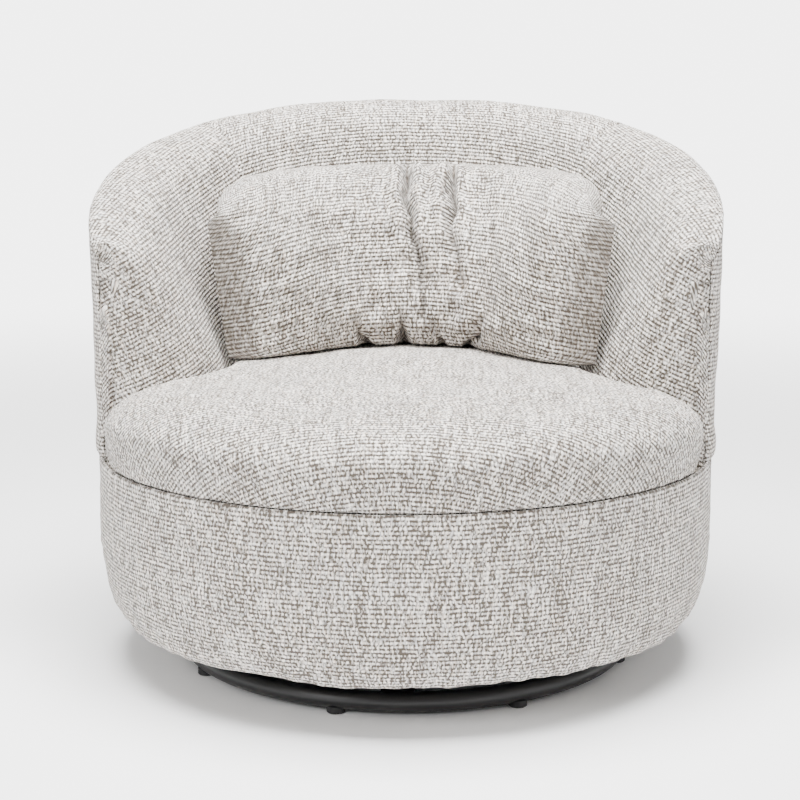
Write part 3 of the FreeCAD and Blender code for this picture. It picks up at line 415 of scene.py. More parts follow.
# Sections of the inner cover, one for each place along it. Each runs up the leaning inner face, over the rim
# with a wide and then a tight arc, and down to the outer seam. width is the plan distance from the foot of the
# face to the outer wall. Points are (distance in from the outer wall, height).
def coverSections(width, rim, innerRound, outerRound):
    foot, knee = shell["footHeight"], shell["kneeHeight"]
    lean = leanOf(rim, width - outerRound, innerRound)
    w, z, r, q, a = (value[:, None] for value in (width, rim, innerRound, outerRound, lean))
    lowFace = np.linspace(0, 1, 8)[None]
    face = np.linspace(0, 1, 54)[None]
    wide = a + (math.pi / 2 - a) * np.linspace(0, 1, 26)[None]
    tight = math.pi / 2 * (1 + np.linspace(0, 1, 11)[None])
    fall = np.array([0.25, 0.5, 0.7, 0.84, 0.93, 1])[None]
    topAcross, topUp = q + r * np.cos(a), z - r * (1 - np.sin(a))
    puff = shell["fullness"] * np.minimum(w / 0.12, 1) * np.sin(math.pi * face) ** 1.5
    stretches = [(w + 0 * lowFace, foot + (knee - foot) * lowFace),
                 (w + (topAcross - w) * face + puff, knee + (topUp - knee) * face),
                 (q + r * np.cos(wide), z - r + r * np.sin(wide)),
                 (q + q * np.cos(tight), z - q + q * np.sin(tight)),
                 (0 * fall + 0 * w, z - q - shell["seamDrop"] * fall)]
    keep = [slice(0, -1)] * 3 + [slice(0, None)] * 2
    return [np.concatenate([(a + 0 * b)[:, k] for (a, b), k in zip(way, keep)], 1)
            for way in (stretches, [pair[::-1] for pair in stretches])]


# The grid of a cover that shows, and its hidden side: up along the frame's boards, then out along the rail to the
# outer seam. slideFrom is where along the section the hidden side leaves the boards.
def coverGrids(width, rim, innerRound, outerRound, outerPoint, inward, slideFrom=0.72):
    across, up = coverSections(width, rim, innerRound, outerRound)
    board = np.minimum(shell["boardDepth"], 0.5 * width)[:, None]
    share = np.linspace(0, 1, across.shape[1])[None]
    climb = np.clip(share / slideFrom, 0, 1)
    slide = np.clip((share - slideFrom) / (1 - slideFrom), 0, 1)
    backAcross = board * (1 - slide) + np.minimum(0.0035, 0.2 * board) * slide
    backUp = shell["footHeight"] + (rim[:, None] - shell["railDrop"] - shell["footHeight"]) * climb
    return [np.concatenate([outerPoint[:, None, :] + inward[:, None, :] * far[..., None], high[..., None]], -1)
            for far, high in ((across, up), (backAcross, backUp))]


# how far a point sinks at a seam: a quarter circle, reach wide and depth deep
def tuck(distance, reach, depth):
    return depth * (1 - quarterRound(distance / reach))


# foam under cloth: waves of slow swells, of finer swells and of the puckers beside a seam
give = {"slowWave": 0.17, "fineWave": 0.06, "fineShare": 0.35, "puckerWave": 0.021, "pucker": 0.00045,
        "slowFade": 0.06, "fineFade": 0.04, "puckerReach": 0.013, "puckerFade": 0.003}


# slow swells away from the seams, fine puckers beside them, and the sinking at them, along the normals
def soften(face, back, cloth, seam, seed, swell=0.0014, reach=0.0045, depth=0.0036):
    outward = face - back
    outward /= np.maximum(np.linalg.norm(outward, axis=-1, keepdims=True), 1e-9)
    rise = swell * ripple(cloth, give["slowWave"], seed) * ease(seam / give["slowFade"])
    rise += give["fineShare"] * swell * ripple(cloth, give["fineWave"], seed + 1) * ease(seam / give["fineFade"])
    rise += (give["pucker"] * ripple(cloth, give["puckerWave"], seed + 2, 5) * bell(seam / give["puckerReach"])
             * ease(seam / give["puckerFade"]))
    rise -= tuck(seam, reach, depth)
    return face + gridNormals(face, outward) * rise[..., None]


def backPanel():
    half = math.radians(shell["panelSeam"]) * shell["gaugeRadius"]
    angle = np.degrees((spaced(2 * half, shell["cell"]) - half) / shell["gaugeRadius"])
    rim = rimAt(angle)
    outer = outerRadius(rim - shell["outerRound"])
    same = np.ones_like(angle)
    face, back = coverGrids(outer - shell["innerRadius"], rim, shell["innerRound"] * same,
                            shell["outerRound"] * same, atAngle(angle, outer), -atAngle(angle, 1.0))
    cloth = np.stack([runLength(face, 0, len(angle) // 2), runLength(face, 1, face.shape[1] - 1)], -1)
    seam = np.minimum.reduce([reachTo(face, line) for line in (face[:, -1], face[0], face[-1])])
    face = soften(face, back, cloth, seam, 11)
    return padPiece("backPad", face, back, cloth, tweedMaterial("tweedBack", 1))


# The arms' noses. path is the plan line of the face's foot from the end of the round inner wall to the front seam.
# least is the thickness that the pad keeps.
nose = {"path": [(0.2350, 0.0000), (0.2372, -0.0150), (0.2450, -0.0310), (0.2600, -0.0530), (0.2780, -0.0790),
                 (0.2960, -0.0985), (0.3200, -0.1085), (0.3450, -0.1085), (0.3620, -0.1035), (0.37450, -0.0940)],
        "turnStart": 90, "turnShare": 0.46, "topFall": 0.004, "roundFrom": 0.035, "roundOver": 0.05,
        "rounds": 130, "rowTilt": -24, "least": 0.006, "tipNear": 0.010, "tipFar": 0.024, "cell": 0.0050,
        "roundPower": 1.7, "innerShare": 0.50, "outerShare": 0.32}


# a smooth curve through plan points, many points a side (Catmull-Rom)
def throughPoints(points, count=24):
    p = np.array(points)
    p = np.concatenate([[2 * p[0] - p[1]], p, [2 * p[-1] - p[-2]]])
    t = np.linspace(0, 1, count, endpoint=False)[None, :, None]
    a, b, c, d = (p[i:len(p) - 3 + i][:, None] for i in range(4))
    curve = 0.5 * (2 * b + (c - a) * t + (2 * a - 5 * b + 4 * c - d) * t ** 2 + (3 * b - a - 3 * c + d) * t ** 3)
    return np.concatenate([curve.reshape(-1, 2), p[-2:-1]])


# the same surface with its bends rounded where share is above 0: each inner point moves along its normal towards
# the mean of its four neighbours, over and over
def roundedGrid(face, back, share, rounds):
    face, outward = face.copy(), face - back
    for step in range(rounds):
        inner = face[1:-1, 1:-1]
        mean = (face[:-2, 1:-1] + face[2:, 1:-1] + face[1:-1, :-2] + face[1:-1, 2:]) / 4
        normal = gridNormals(face, outward)[1:-1, 1:-1]
        face[1:-1, 1:-1] = inner + share[1:-1, 1:-1, None] * ((mean - inner) * normal).sum(-1, keepdims=True) * normal
    return face


# The triangles of a grid, with each cell cut both ways: where their edges start and end, and the edges laid flat
# with each triangle's first one along x.
def flatEdges(points):
    n, m = points.shape[:2]
    index = np.arange(n * m).reshape(n, m)
    a, b, c, d = (k.ravel() for k in (index[:-1, :-1], index[1:, :-1], index[1:, 1:], index[:-1, 1:]))
    triangles = np.concatenate([np.stack(t, -1) for t in ((a, b, c), (a, c, d), (a, b, d), (b, c, d))])
    p, q, r = (points.reshape(-1, 3)[triangles[:, k]] for k in range(3))
    base = np.maximum(np.linalg.norm(q - p, axis=-1), 1e-7)
    share = ((r - p) * (q - p)).sum(-1) / base
    rise = np.linalg.norm(np.cross(q - p, r - p), axis=-1) / base
    zero = np.zeros_like(base)
    corners = np.stack([np.stack(pair, -1) for pair in ((zero, zero), (base, zero), (share, rise))], 1)
    edges = (corners[:, [1, 2, 0]] - corners).reshape(-1, 2)
    return triangles.ravel(), triangles[:, [1, 2, 0]].ravel(), edges


# the flat edges, each triangle turned as its corners now lie in the layout
def turnedEdges(place, start, end, edges):
    now = place[end] - place[start]
    dot = (now * edges).sum(-1).reshape(-1, 3).sum(1)
    cross = (edges[:, 0] * now[:, 1] - edges[:, 1] * now[:, 0]).reshape(-1, 3).sum(1)
    turn = np.repeat(np.arctan2(cross, dot), 3)
    return np.stack([np.cos(turn) * edges[:, 0] - np.sin(turn) * edges[:, 1],
                     np.sin(turn) * edges[:, 0] + np.cos(turn) * edges[:, 1]], -1)


def summed(index, values, size):
    return np.stack([np.bincount(index, values[:, k], size) for k in range(2)], -1)


# A flat layout of a grid that keeps its lengths and angles as well as it can. On picked rows and columns the places
# that fit all the turned triangles best are solved for, over and over. The layout is then drawn out to the whole
# grid by its lengths, and each point moves most of the way to the mean of where its neighbours put it.
def flattened(face, flat, picksEach=28, solves=100, rounds=60, pace=0.9):
    runs = [runLength(face, 0).mean(1), runLength(face, 1).mean(0)]
    picks = [np.unique(np.searchsorted(run, np.linspace(0, run[-1], picksEach)).clip(0, len(run) - 1))
             for run in runs]
    picked = np.ix_(*picks)
    place = flat[picked].reshape(-1, 2)
    size = len(place)
    start, end, edges = flatEdges(face[picked])
    stiff = np.zeros((size, size))
    for one, other, sign in ((start, start, 1), (end, end, 1), (start, end, -1), (end, start, -1)):
        np.add.at(stiff, (one, other), sign)
    stiff[0, 0] += 1
    solve = np.linalg.inv(stiff)
    for step in range(solves):
        turned = turnedEdges(place, start, end, edges)
        place = solve @ (summed(end, turned, size) - summed(start, turned, size))
    spread = [np.stack([np.interp(run, run[pick], unit) for unit in np.eye(len(pick))], 1)
              for run, pick in zip(runs, picks)]
    place = np.einsum("ia,abk,jb->ijk", spread[0], place.reshape(len(picks[0]), len(picks[1]), 2), spread[1])
    place = place.reshape(-1, 2)
    size = len(place)
    start, end, edges = flatEdges(face)
    count = (np.bincount(start, minlength=size) + np.bincount(end, minlength=size))[:, None]
    for step in range(rounds):
        turned = turnedEdges(place, start, end, edges)
        asked = summed(end, place[start] + turned, size) + summed(start, place[end] - turned, size)
        place = place + pace * (asked / count - place)
    return place.reshape(*flat.shape[:2], 2)


# Where the rows of a grid meet in a tip the layout follows a smooth fit: the layout of the wider cells around it,
# as a quadratic of x, y and z.
def smoothTip(face, cloth, tip, near, far):
    away = np.linalg.norm(face - tip, axis=-1)
    x, y, z = np.moveaxis((face - tip) / far, -1, 0)
    terms = np.stack([np.ones_like(x), x, y, z, x * x, y * y, z * z, x * y, y * z, z * x], -1)
    cell = np.minimum(*(np.linalg.norm(np.gradient(face, axis=axis), axis=-1) for axis in (0, 1)))
    sound = (cell > 0.0012) & (away < 1.6 * far)
    known = terms[sound]
    factors = np.linalg.solve(known.T @ known + 1e-3 * np.eye(10), known.T @ cloth[sound])
    share = ease((far - away) / (far - near))[..., None]
    return cloth + share * (terms @ factors - cloth)


# The +X arm: its face, its hidden side, its flat layout and the distance of each point from a seam. The sections of
# the back go on round the arm, and their foot follows the nose's path to the front seam.
def armShape():
    start = shell["panelSeam"]
    ring = atAngle(np.linspace(start, nose["turnStart"], 80), shell["innerRadius"])
    line = np.concatenate([ring[:-1], throughPoints(nose["path"])])
    run = np.concatenate([[0], np.cumsum(np.linalg.norm(np.diff(line, axis=0), axis=1))])
    place = spaced(run[-1], nose["cell"])
    foot = np.stack([np.interp(place, run, line[:, k]) for k in (0, 1)], -1)
    turnRun = run[len(ring) - 1]
    endRun = turnRun + nose["turnShare"] * (run[-1] - turnRun)
    share = np.clip((place - turnRun) / (endRun - turnRun), 0, 1)
    footAngle = start + np.degrees(place / shell["innerRadius"])
    sweep = shell["frontSeam"] - nose["turnStart"]
    rate = math.degrees(endRun - turnRun) / shell["innerRadius"] / sweep
    angle = np.where(place < turnRun, footAngle, nose["turnStart"] + sweep * (1 - (1 - share) ** rate))
    rim = rimAt(angle) - nose["topFall"] * ease((place - endRun) / (run[-1] - endRun))
    outer = outerRadius(rimAt(angle) - shell["outerRound"])
    point = atAngle(angle, outer - curlIn(angle))
    gap = foot - point
    width = np.maximum(np.linalg.norm(gap, axis=1), 1e-5)
    front = np.clip((angle - nose["turnStart"]) / (shell["noseEnd"] - nose["turnStart"]), 0, 1)
    innerRound = shell["innerRound"] + (shell["innerRoundFront"] - shell["innerRound"]) * front ** nose["roundPower"]
    face, back = coverGrids(width, rim, np.minimum(innerRound, nose["innerShare"] * width),
                            np.minimum(shell["outerRound"], nose["outerShare"] * width), point,
                            gap / width[:, None])
    # round the bend between the roll and the front
    count = np.arange(face.shape[1])
    last = face.shape[1] - 1
    share = ease((place - turnRun + nose["roundFrom"]) / nose["roundOver"])[:, None] * ease(count / 10)[None]
    share = share * ease((last - 6 - count) / 8)[None] * ease((run[-1] - place) / 0.012)[:, None]
    face = roundedGrid(face, back, 0.5 * share, nose["rounds"])
    # the hidden side keeps behind the face, and meets it at the seams
    normal = gridNormals(face, face - back + 1e-9)
    depth = ((face - back) * normal).sum(-1, keepdims=True)
    border = ease(count / 3)[None] * ease((last - count) / 3)[None]
    border = border * ease((run[-1] - place) / 0.006)[:, None] * ease(place / 0.006)[:, None]
    back = back - normal * np.maximum(nose["least"] - depth, 0) * border[..., None]
    cloth = flattened(face, np.stack([runLength(face, 0, len(place) - 1), runLength(face, 1, last)], -1))
    cloth = smoothTip(face, cloth, face[-1, -1], nose["tipNear"], nose["tipFar"])
    # turn the layout: upright at the front seam, then by the tilt of the rows
    seamWay = cloth[-1, 40] - cloth[-1, 4]
    turn = math.atan2(seamWay[0], seamWay[1]) - math.radians(nose["rowTilt"])
    cloth = cloth @ np.array([[math.cos(turn), math.sin(turn)], [-math.sin(turn), math.cos(turn)]])
    frontLine = np.linspace((*point[-1], shell["footHeight"]), (*point[-1], face[-1, -1, 2]), 60)
    seam = np.minimum.reduce([reachTo(face, line) for line in (face[:, -1], face[0], frontLine)])
    return face, back, cloth, seam


def armPad(name, side, seed, shape):
    face, back, cloth, seam = shape
    mirror = np.array([side, 1, 1])
    face, back = soften(face, back, cloth, seam, seed) * mirror, back * mirror
    return padPiece(name, face, back, cloth, tweedMaterial("tweed" + name[0].upper() + name[1:], seed))


# outer back: one panel from arm to arm, with a roll above its lower seam, which dips where the wall curls in
outside = {"bulge": -0.0006, "roll": 0.0022, "rollHeight": 0.284, "rollReach": 0.016, "depth": 0.0095,
           "curlShare": 0.7, "cell": 0.0062, "height": 0.42, "gap": 0.0004, "dip": 0.009, "dipCurl": 0.008,
           "curlReach": 0.049, "curlColumns": 22}


def outerBack():
    half = math.radians(shell["frontSeam"]) * shell["highRadius"]
    place = spaced(2 * half, outside["cell"]) - half
    # more columns where the wall curls in
    ends = half - np.geomspace(outside["gap"], outside["curlReach"], outside["curlColumns"])[::-1]
    inner = place[np.abs(place) < half - outside["curlReach"] - 0.003]
    place = np.concatenate([[-half], -ends[::-1], inner, ends, [half]])
    angle = np.degrees(place / shell["highRadius"])
    curl = curlIn(angle)
    top = rimAt(angle) - shell["outerRound"] - shell["seamDrop"] - outside["gap"]
    low = shell["seamHeight"] + outside["gap"] - outside["dip"] * ease(curl / outside["dipCurl"])
    share = spaced(outside["height"], outside["cell"]) / outside["height"]
    height = low[:, None] + (top - low)[:, None] * share[None]
    radius = outerRadius(height) - curl[:, None]
    radius = radius + outside["bulge"] * np.sin(math.pi * share[None])
    radius = radius + outside["roll"] * bell((height - outside["rollHeight"]) / outside["rollReach"])
    turn = np.radians(angle)[:, None]
    face = aroundAxis(radius, turn, height)
    back = aroundAxis(outerRadius(height) - outside["depth"] - outside["curlShare"] * curl[:, None], turn, height)
    cloth = np.stack([runLength(face, 0, len(angle) // 2), height], -1)
    seam = np.minimum.reduce([reachTo(face, line) for line in (face[:, -1], face[:, 0], face[0], face[-1])])
    face = soften(face, back, cloth, seam, 41, swell=0.0010, reach=0.005, depth=0.0040)
    return padPiece("outerBackPad", face, back, cloth, tweedMaterial("tweedOuter", 4))


# Drum: a profile turned about the swivel axis, closed on itself round the foam. The ledge folds in over the board,
# to close the corners between the arms and the seat.
drum = {"radius": 0.3935, "taper": 0.002, "bottom": 0.049, "seam": 0.267, "gap": 0.0004, "bulge": 0.0015,
        "footAcross": 0.030, "footUp": 0.105, "footLow": 0.062, "footPower": 1.11, "lip": 0.284,
        "boardEdge": 0.3004, "boardBottom": 0.0515, "coreRadius": 0.3772, "coreBottom": 0.0640,
        "coreRound": 0.037, "coreTop": 0.2495, "ledge": 0.046, "ledgeHeight": 0.2531, "wallCell": 0.0062,
        "turnCell": 0.0066, "swell": 0.0011, "swellWave": 0.16, "fine": 0.0004, "fineWave": 0.05,
        "pull": 0.0005, "pullWave": 0.023, "pullReach": 0.014, "underPull": 0.0010, "underWave": 0.035,
        "swellFade": 0.05}


def drumPad():
    wallHigh = drum["seam"] - drum["gap"]
    wallLow = drum["footLow"] + drum["footUp"]
    height = wallHigh - spaced(wallHigh - wallLow, drum["wallCell"], (True, False))
    share = (wallHigh - height) / (wallHigh - drum["bottom"])
    radius = drum["radius"] - drum["taper"] * share + drum["bulge"] * np.sin(math.pi * share)
    turned = np.linspace(0, math.pi / 2, 30)[1:]
    footRadius = radius[-1] - drum["footAcross"]
    across, fall = np.cos(turned).clip(0) ** drum["footPower"], np.sin(turned) ** drum["footPower"]
    foot = np.stack([footRadius + drum["footAcross"] * across, wallLow - drum["footUp"] * fall], -1)
    below = np.linspace((footRadius, drum["footLow"]), (drum["lip"], drum["bottom"]), 12)[1:]
    boardLow = drum["boardBottom"] - drum["gap"]
    inside = [(drum["lip"], boardLow), (drum["boardEdge"], boardLow), (drum["boardEdge"], drum["coreBottom"])]
    bend = np.linspace(0, math.pi / 2, 8)
    core = np.stack([drum["coreRadius"] - drum["coreRound"] + drum["coreRound"] * np.sin(bend),
                     drum["coreBottom"] + drum["coreRound"] * (1 - np.cos(bend))], -1)
    ledge = drum["radius"] - drum["ledge"]
    top = [(drum["coreRadius"], drum["coreTop"]), (ledge, drum["coreTop"] + 0.0009), (ledge, drum["ledgeHeight"]),
           (drum["radius"] - 0.010, drum["ledgeHeight"] + 0.0003), (drum["radius"] - 0.006, wallHigh - 0.0046)]
    profile = np.concatenate([np.stack([radius, height], -1), foot, below, inside, core, top])
    shown = len(radius) + len(foot) + len(below)
    circle = 2 * math.pi * drum["radius"]
    place = spaced(circle, drum["turnCell"])
    turn = place / drum["radius"]
    face = aroundAxis(profile[None, :, 0], turn[:, None], profile[None, :, 1])
    down = np.concatenate([[0], np.cumsum(np.linalg.norm(np.diff(profile, axis=0), axis=1))])
    u, v = np.meshgrid(place, -down, indexing="ij")
    cloth = np.stack([u, v], -1)
    # the waves join up all round, and lean with the height
    ring = np.stack([np.cos(2 * math.pi * u / circle), np.sin(2 * math.pi * u / circle)], -1) * drum["radius"]
    rise = drum["swell"] * ripple(ring + np.stack([v, -v], -1), drum["swellWave"], 51)
    rise += drum["fine"] * ripple(ring + np.stack([2 * v, v], -1), drum["fineWave"], 52)
    seam = np.minimum(-v, np.minimum(u, circle - u))
    pull = drum["pull"] * ripple(ring, drum["pullWave"], 53, 5) * bell(v / drum["pullReach"])
    underPull = drum["underPull"] * ripple(ring, drum["underWave"], 54, 6)
    underPull = underPull * ease((-v - down[len(radius) + 8]) / drum["swellFade"])
    rise = rise * ease(seam / drum["swellFade"]) + pull * ease(seam / 0.003) + underPull
    rise = rise - tuck(-v, 0.0040, 0.0030) - 0.5 * tuck(np.minimum(u, circle - u), 0.003, 0.0026)
    rise = rise * (np.arange(len(profile)) < shown - 1)[None]
    middle = aroundAxis(0.36, turn, 0.16)[:, None]
    face = face + gridNormals(face, face - middle) * rise[..., None]
    face[..., 2] = np.maximum(face[..., 2], drum["bottom"] - 0.0012)
    face[-1] = face[0]
    return gridPiece("drumPad", face, np.concatenate([cloth, cloth[:, :1]], 1),
                     tweedMaterial("tweedDrum", 5), closedB=True)


# Seat: a crowned cushion, full width in front of the arms and round inside the back. edge is its plan radius at
# angles from the rear. kneads are the swells: how high, how long a wave and the seed.
seat = {"edge": [(0, 0.2340), (90, 0.2345), (94, 0.2375), (97, 0.2440), (100, 0.2560), (103, 0.2730), (105.5, 0.2900),
                 (107.2, 0.3070), (108.2, 0.3300), (108.8, 0.3520), (109.5, 0.3720), (110.5, 0.3860), (112, 0.3930),
                 (115, 0.3965), (120, 0.3980), (180, 0.3980)],
        "crown": 0.381, "shoulderRadius": 0.330, "shoulder": 0.3615, "slopeLength": 2.80, "belly": 0.315,
        "bellyRear": 0.345,
        "rollFront": 0.068, "rollRear": 0.020, "cornerIn": 0.0070, "cornerRear": 0.002, "foot": 0.2535,
        "seam": 0.2670, "kneads": [(0.0020, 0.24, 61), (0.0006, 0.075, 62), (0.0006, 0.022, 63)], "calm": 0.75,
        "swellFade": 0.05, "puckerReach": 0.016}


# the height of the crown at a radius: an arc through the middle and the shoulder
def crownAt(radius):
    sag = seat["crown"] - seat["shoulder"]
    bend = (seat["shoulderRadius"] ** 2 + sag ** 2) / (2 * sag)
    return seat["crown"] - bend + np.sqrt(bend ** 2 - radius ** 2)


def seatPad():
    # more columns where the edge turns out in front of the arms
    steps = np.interp(np.linspace(0, 1, 330), [0, 0.44, 0.64, 1], [0, 98, 119, 180])
    turn = np.concatenate([steps, 360 - steps[-2:0:-1]])
    away = np.minimum(turn, 360 - turn)
    edge = np.interp(away, *zip(*seat["edge"]))
    kernel = np.hanning(13) / np.hanning(13).sum()
    edge = np.convolve(np.concatenate([edge[-6:], edge, edge[:6]]), kernel, "valid")
    front = ease((edge - 0.235) / (0.398 - 0.235))
    shoulder = edge - (seat["rollRear"] + (seat["rollFront"] - seat["rollRear"]) * front)
    belly = seat["bellyRear"] + (seat["belly"] - seat["bellyRear"]) * front
    low = seat["foot"] + (seat["seam"] - seat["foot"]) * ease((edge - 0.345) / 0.03)
    tuckIn = seat["cornerRear"] + (seat["cornerIn"] - seat["cornerRear"]) * front
    e, s, su, b, lo, ti = (x[:, None] for x in (edge, shoulder, crownAt(shoulder), belly, low, tuckIn))
    inner = (np.linspace(0, 1, 64) ** 0.9)[None]
    bend = np.linspace(0, math.pi / 2, 26)[None, 1:]
    wall = np.array([0.1, 0.22, 0.36, 0.5, 0.62, 0.73, 0.82, 0.89, 0.94, 0.975, 1.0])[None]
    slope = -s / seat["slopeLength"]  # the crown's slope at the shoulder
    under = np.array([0.985, 0.9, 0.7, 0.4, 0.0])[None]
    # over the top, round the shoulder, down the wall and in below
    parts = [(s * inner, crownAt(s * inner)),
             (s + (e - s) * np.sin(bend), b + (su - b) * np.cos(bend) + slope * (e - s) * np.sin(bend) * np.cos(bend)),
             (e - ti * wall ** 2, b + (lo - b) * wall), ((e - ti) * under, seat["foot"] + 0 * e * under)]
    radius, height = (np.concatenate(part, 1) for part in zip(*parts))
    shown = radius.shape[1] - under.shape[1]
    t = np.radians(turn)[:, None]
    face = aroundAxis(radius, t, height)
    down = runLength(face, 1)
    cloth = aroundAxis(down, t, 0)[..., :2]
    seamDown = np.abs(down - down[:, shown - 1:shown])
    fade = ease(seamDown / seat["swellFade"])
    flat = face[..., :2]
    calm = 1 - seat["calm"] * ease((flat[..., 1] + 0.04) / 0.10)  # flatter towards the pillow
    slow, fine, pucker = seat["kneads"]
    rise = slow[0] * ripple(flat, *slow[1:]) * fade * calm + fine[0] * ripple(cloth, *fine[1:]) * fade
    rise += pucker[0] * ripple(cloth, *pucker[1:], 5) * bell(seamDown / seat["puckerReach"])
    rise = rise * ease(down / 0.02) - tuck(seamDown, 0.0045, 0.0030) * front[:, None]
    rise[:, shown:] = 0
    middle = np.array([0, -0.02, 0.30])
    face = face + gridNormals(face, face - middle) * rise[..., None]
    return gridPiece("seatCushion", face, np.concatenate([cloth, cloth[:1]], 0), tweedMaterial("tweedSeat", 6),
                     closedA=True)


# Lumbar pillow: a front and a rear sheet that meet in a seam all round, bent to the back. Its places run from -1 to 1
# across (p) and up (q). Folds are lines across and up the front, each with how deep and how wide it sinks and how
# much of that depth it has at its start and at its end.
pillow = {"end": 92.0, "turn": 5.0, "open": 0.00024, "thick": 0.134, "seamShare": 0.34, "top": 0.6205,
          "cornerDrop": 0.058, "cornerPower": 3.4, "topBow": 0.008, "gap": 0.0016, "seatGap": 0.0014,
          "seamLift": 0.004, "upright": 0.72, "endGap": 0.004, "endPower": 5.0, "endRound": 0.38,
          "headPower": 2.3, "footPower": 4.6, "footRound": 0.40, "sag": 0.017, "sagAt": -0.84, "sagReach": 0.34,
          "restBlend": 0.0035, "lift": 0.004, "liftReach": 0.20, "columns": 262, "rows": 148, "foldShade": 0.75,
          "foldPower": 1.15, "lip": 0.36, "lipAt": 3.2, "lipReach": 1.8, "endShade": 0.75, "endReach": 0.012,
          "swells": [(0.0030, 0.13, 71), (0.0012, 0.045, 72)], "gather": 0.0016, "gatherWave": 0.030,
          "wander": 0.0022, "wanderWave": 0.05,
          "folds": [
              ([(-0.007, 0.640), (-0.003, 0.573), (0.002, 0.538), (0.010, 0.508), (0.017, 0.484), (0.019, 0.420)],
               0.0260, 0.0050, 1.0, 0.45),
              ([(0.058, 0.640), (0.055, 0.582), (0.056, 0.538), (0.062, 0.498), (0.070, 0.460)],
               0.0260, 0.0048, 1.0, 0.3),
              ([(0.076, 0.640), (0.074, 0.600)], 0.0120, 0.0050, 1.0, 0.0),
              ([(0.026, 0.640), (0.030, 0.590)], 0.0080, 0.0055, 1.0, 0.0),
              ([(0.096, 0.480), (0.100, 0.433), (0.092, 0.406), (0.083, 0.380)], 0.0190, 0.0068, 0.0, 1.0),
              ([(-0.018, 0.452), (-0.008, 0.415), (-0.006, 0.380)], 0.0260, 0.0072, 0.0, 1.0),
              ([(-0.072, 0.428), (-0.059, 0.380)], 0.0170, 0.0070, 0.0, 1.0),
              ([(-0.056, 0.480), (-0.050, 0.430)], 0.0090, 0.0075, 0.5, 0.5),
              ([(0.036, 0.424), (0.047, 0.380)], 0.0130, 0.0064, 0.0, 1.0)]}


# the radius of the back's leaning face at a height, more upright towards the arms
def faceRadius(angle, height):
    rim = rimAt(angle)
    crest = outerRadius(rim - shell["outerRound"]) - shell["outerRound"]
    lean = leanOf(rim, crest - shell["innerRadius"], shell["innerRound"])
    across = np.clip(np.abs(angle) / pillow["end"], 0, 1)
    opened = shell["innerRadius"] + pillow["open"] * np.maximum(np.abs(angle) - 90, 0) ** 2
    return opened + (height - shell["kneeHeight"]) * np.tan(lean) * (1 - pillow["upright"] * across ** 2)


# distance of points of the plane to a bent line, and how far along the line the nearest place lies, 0 to 1
def lineDistance(flat, line):
    near = np.full(flat.shape[:2], np.inf)
    along = np.zeros_like(near)
    for i, (a, b) in enumerate(zip(line[:-1], line[1:])):
        way = b - a
        share = np.clip(((flat - a) @ way) / (way @ way), 0, 1)
        gap = np.linalg.norm(flat - a - share[..., None] * way, axis=-1)
        along = np.where(gap < near, (i + share) / (len(line) - 1), along)
        near = np.minimum(near, gap)
    return near, along


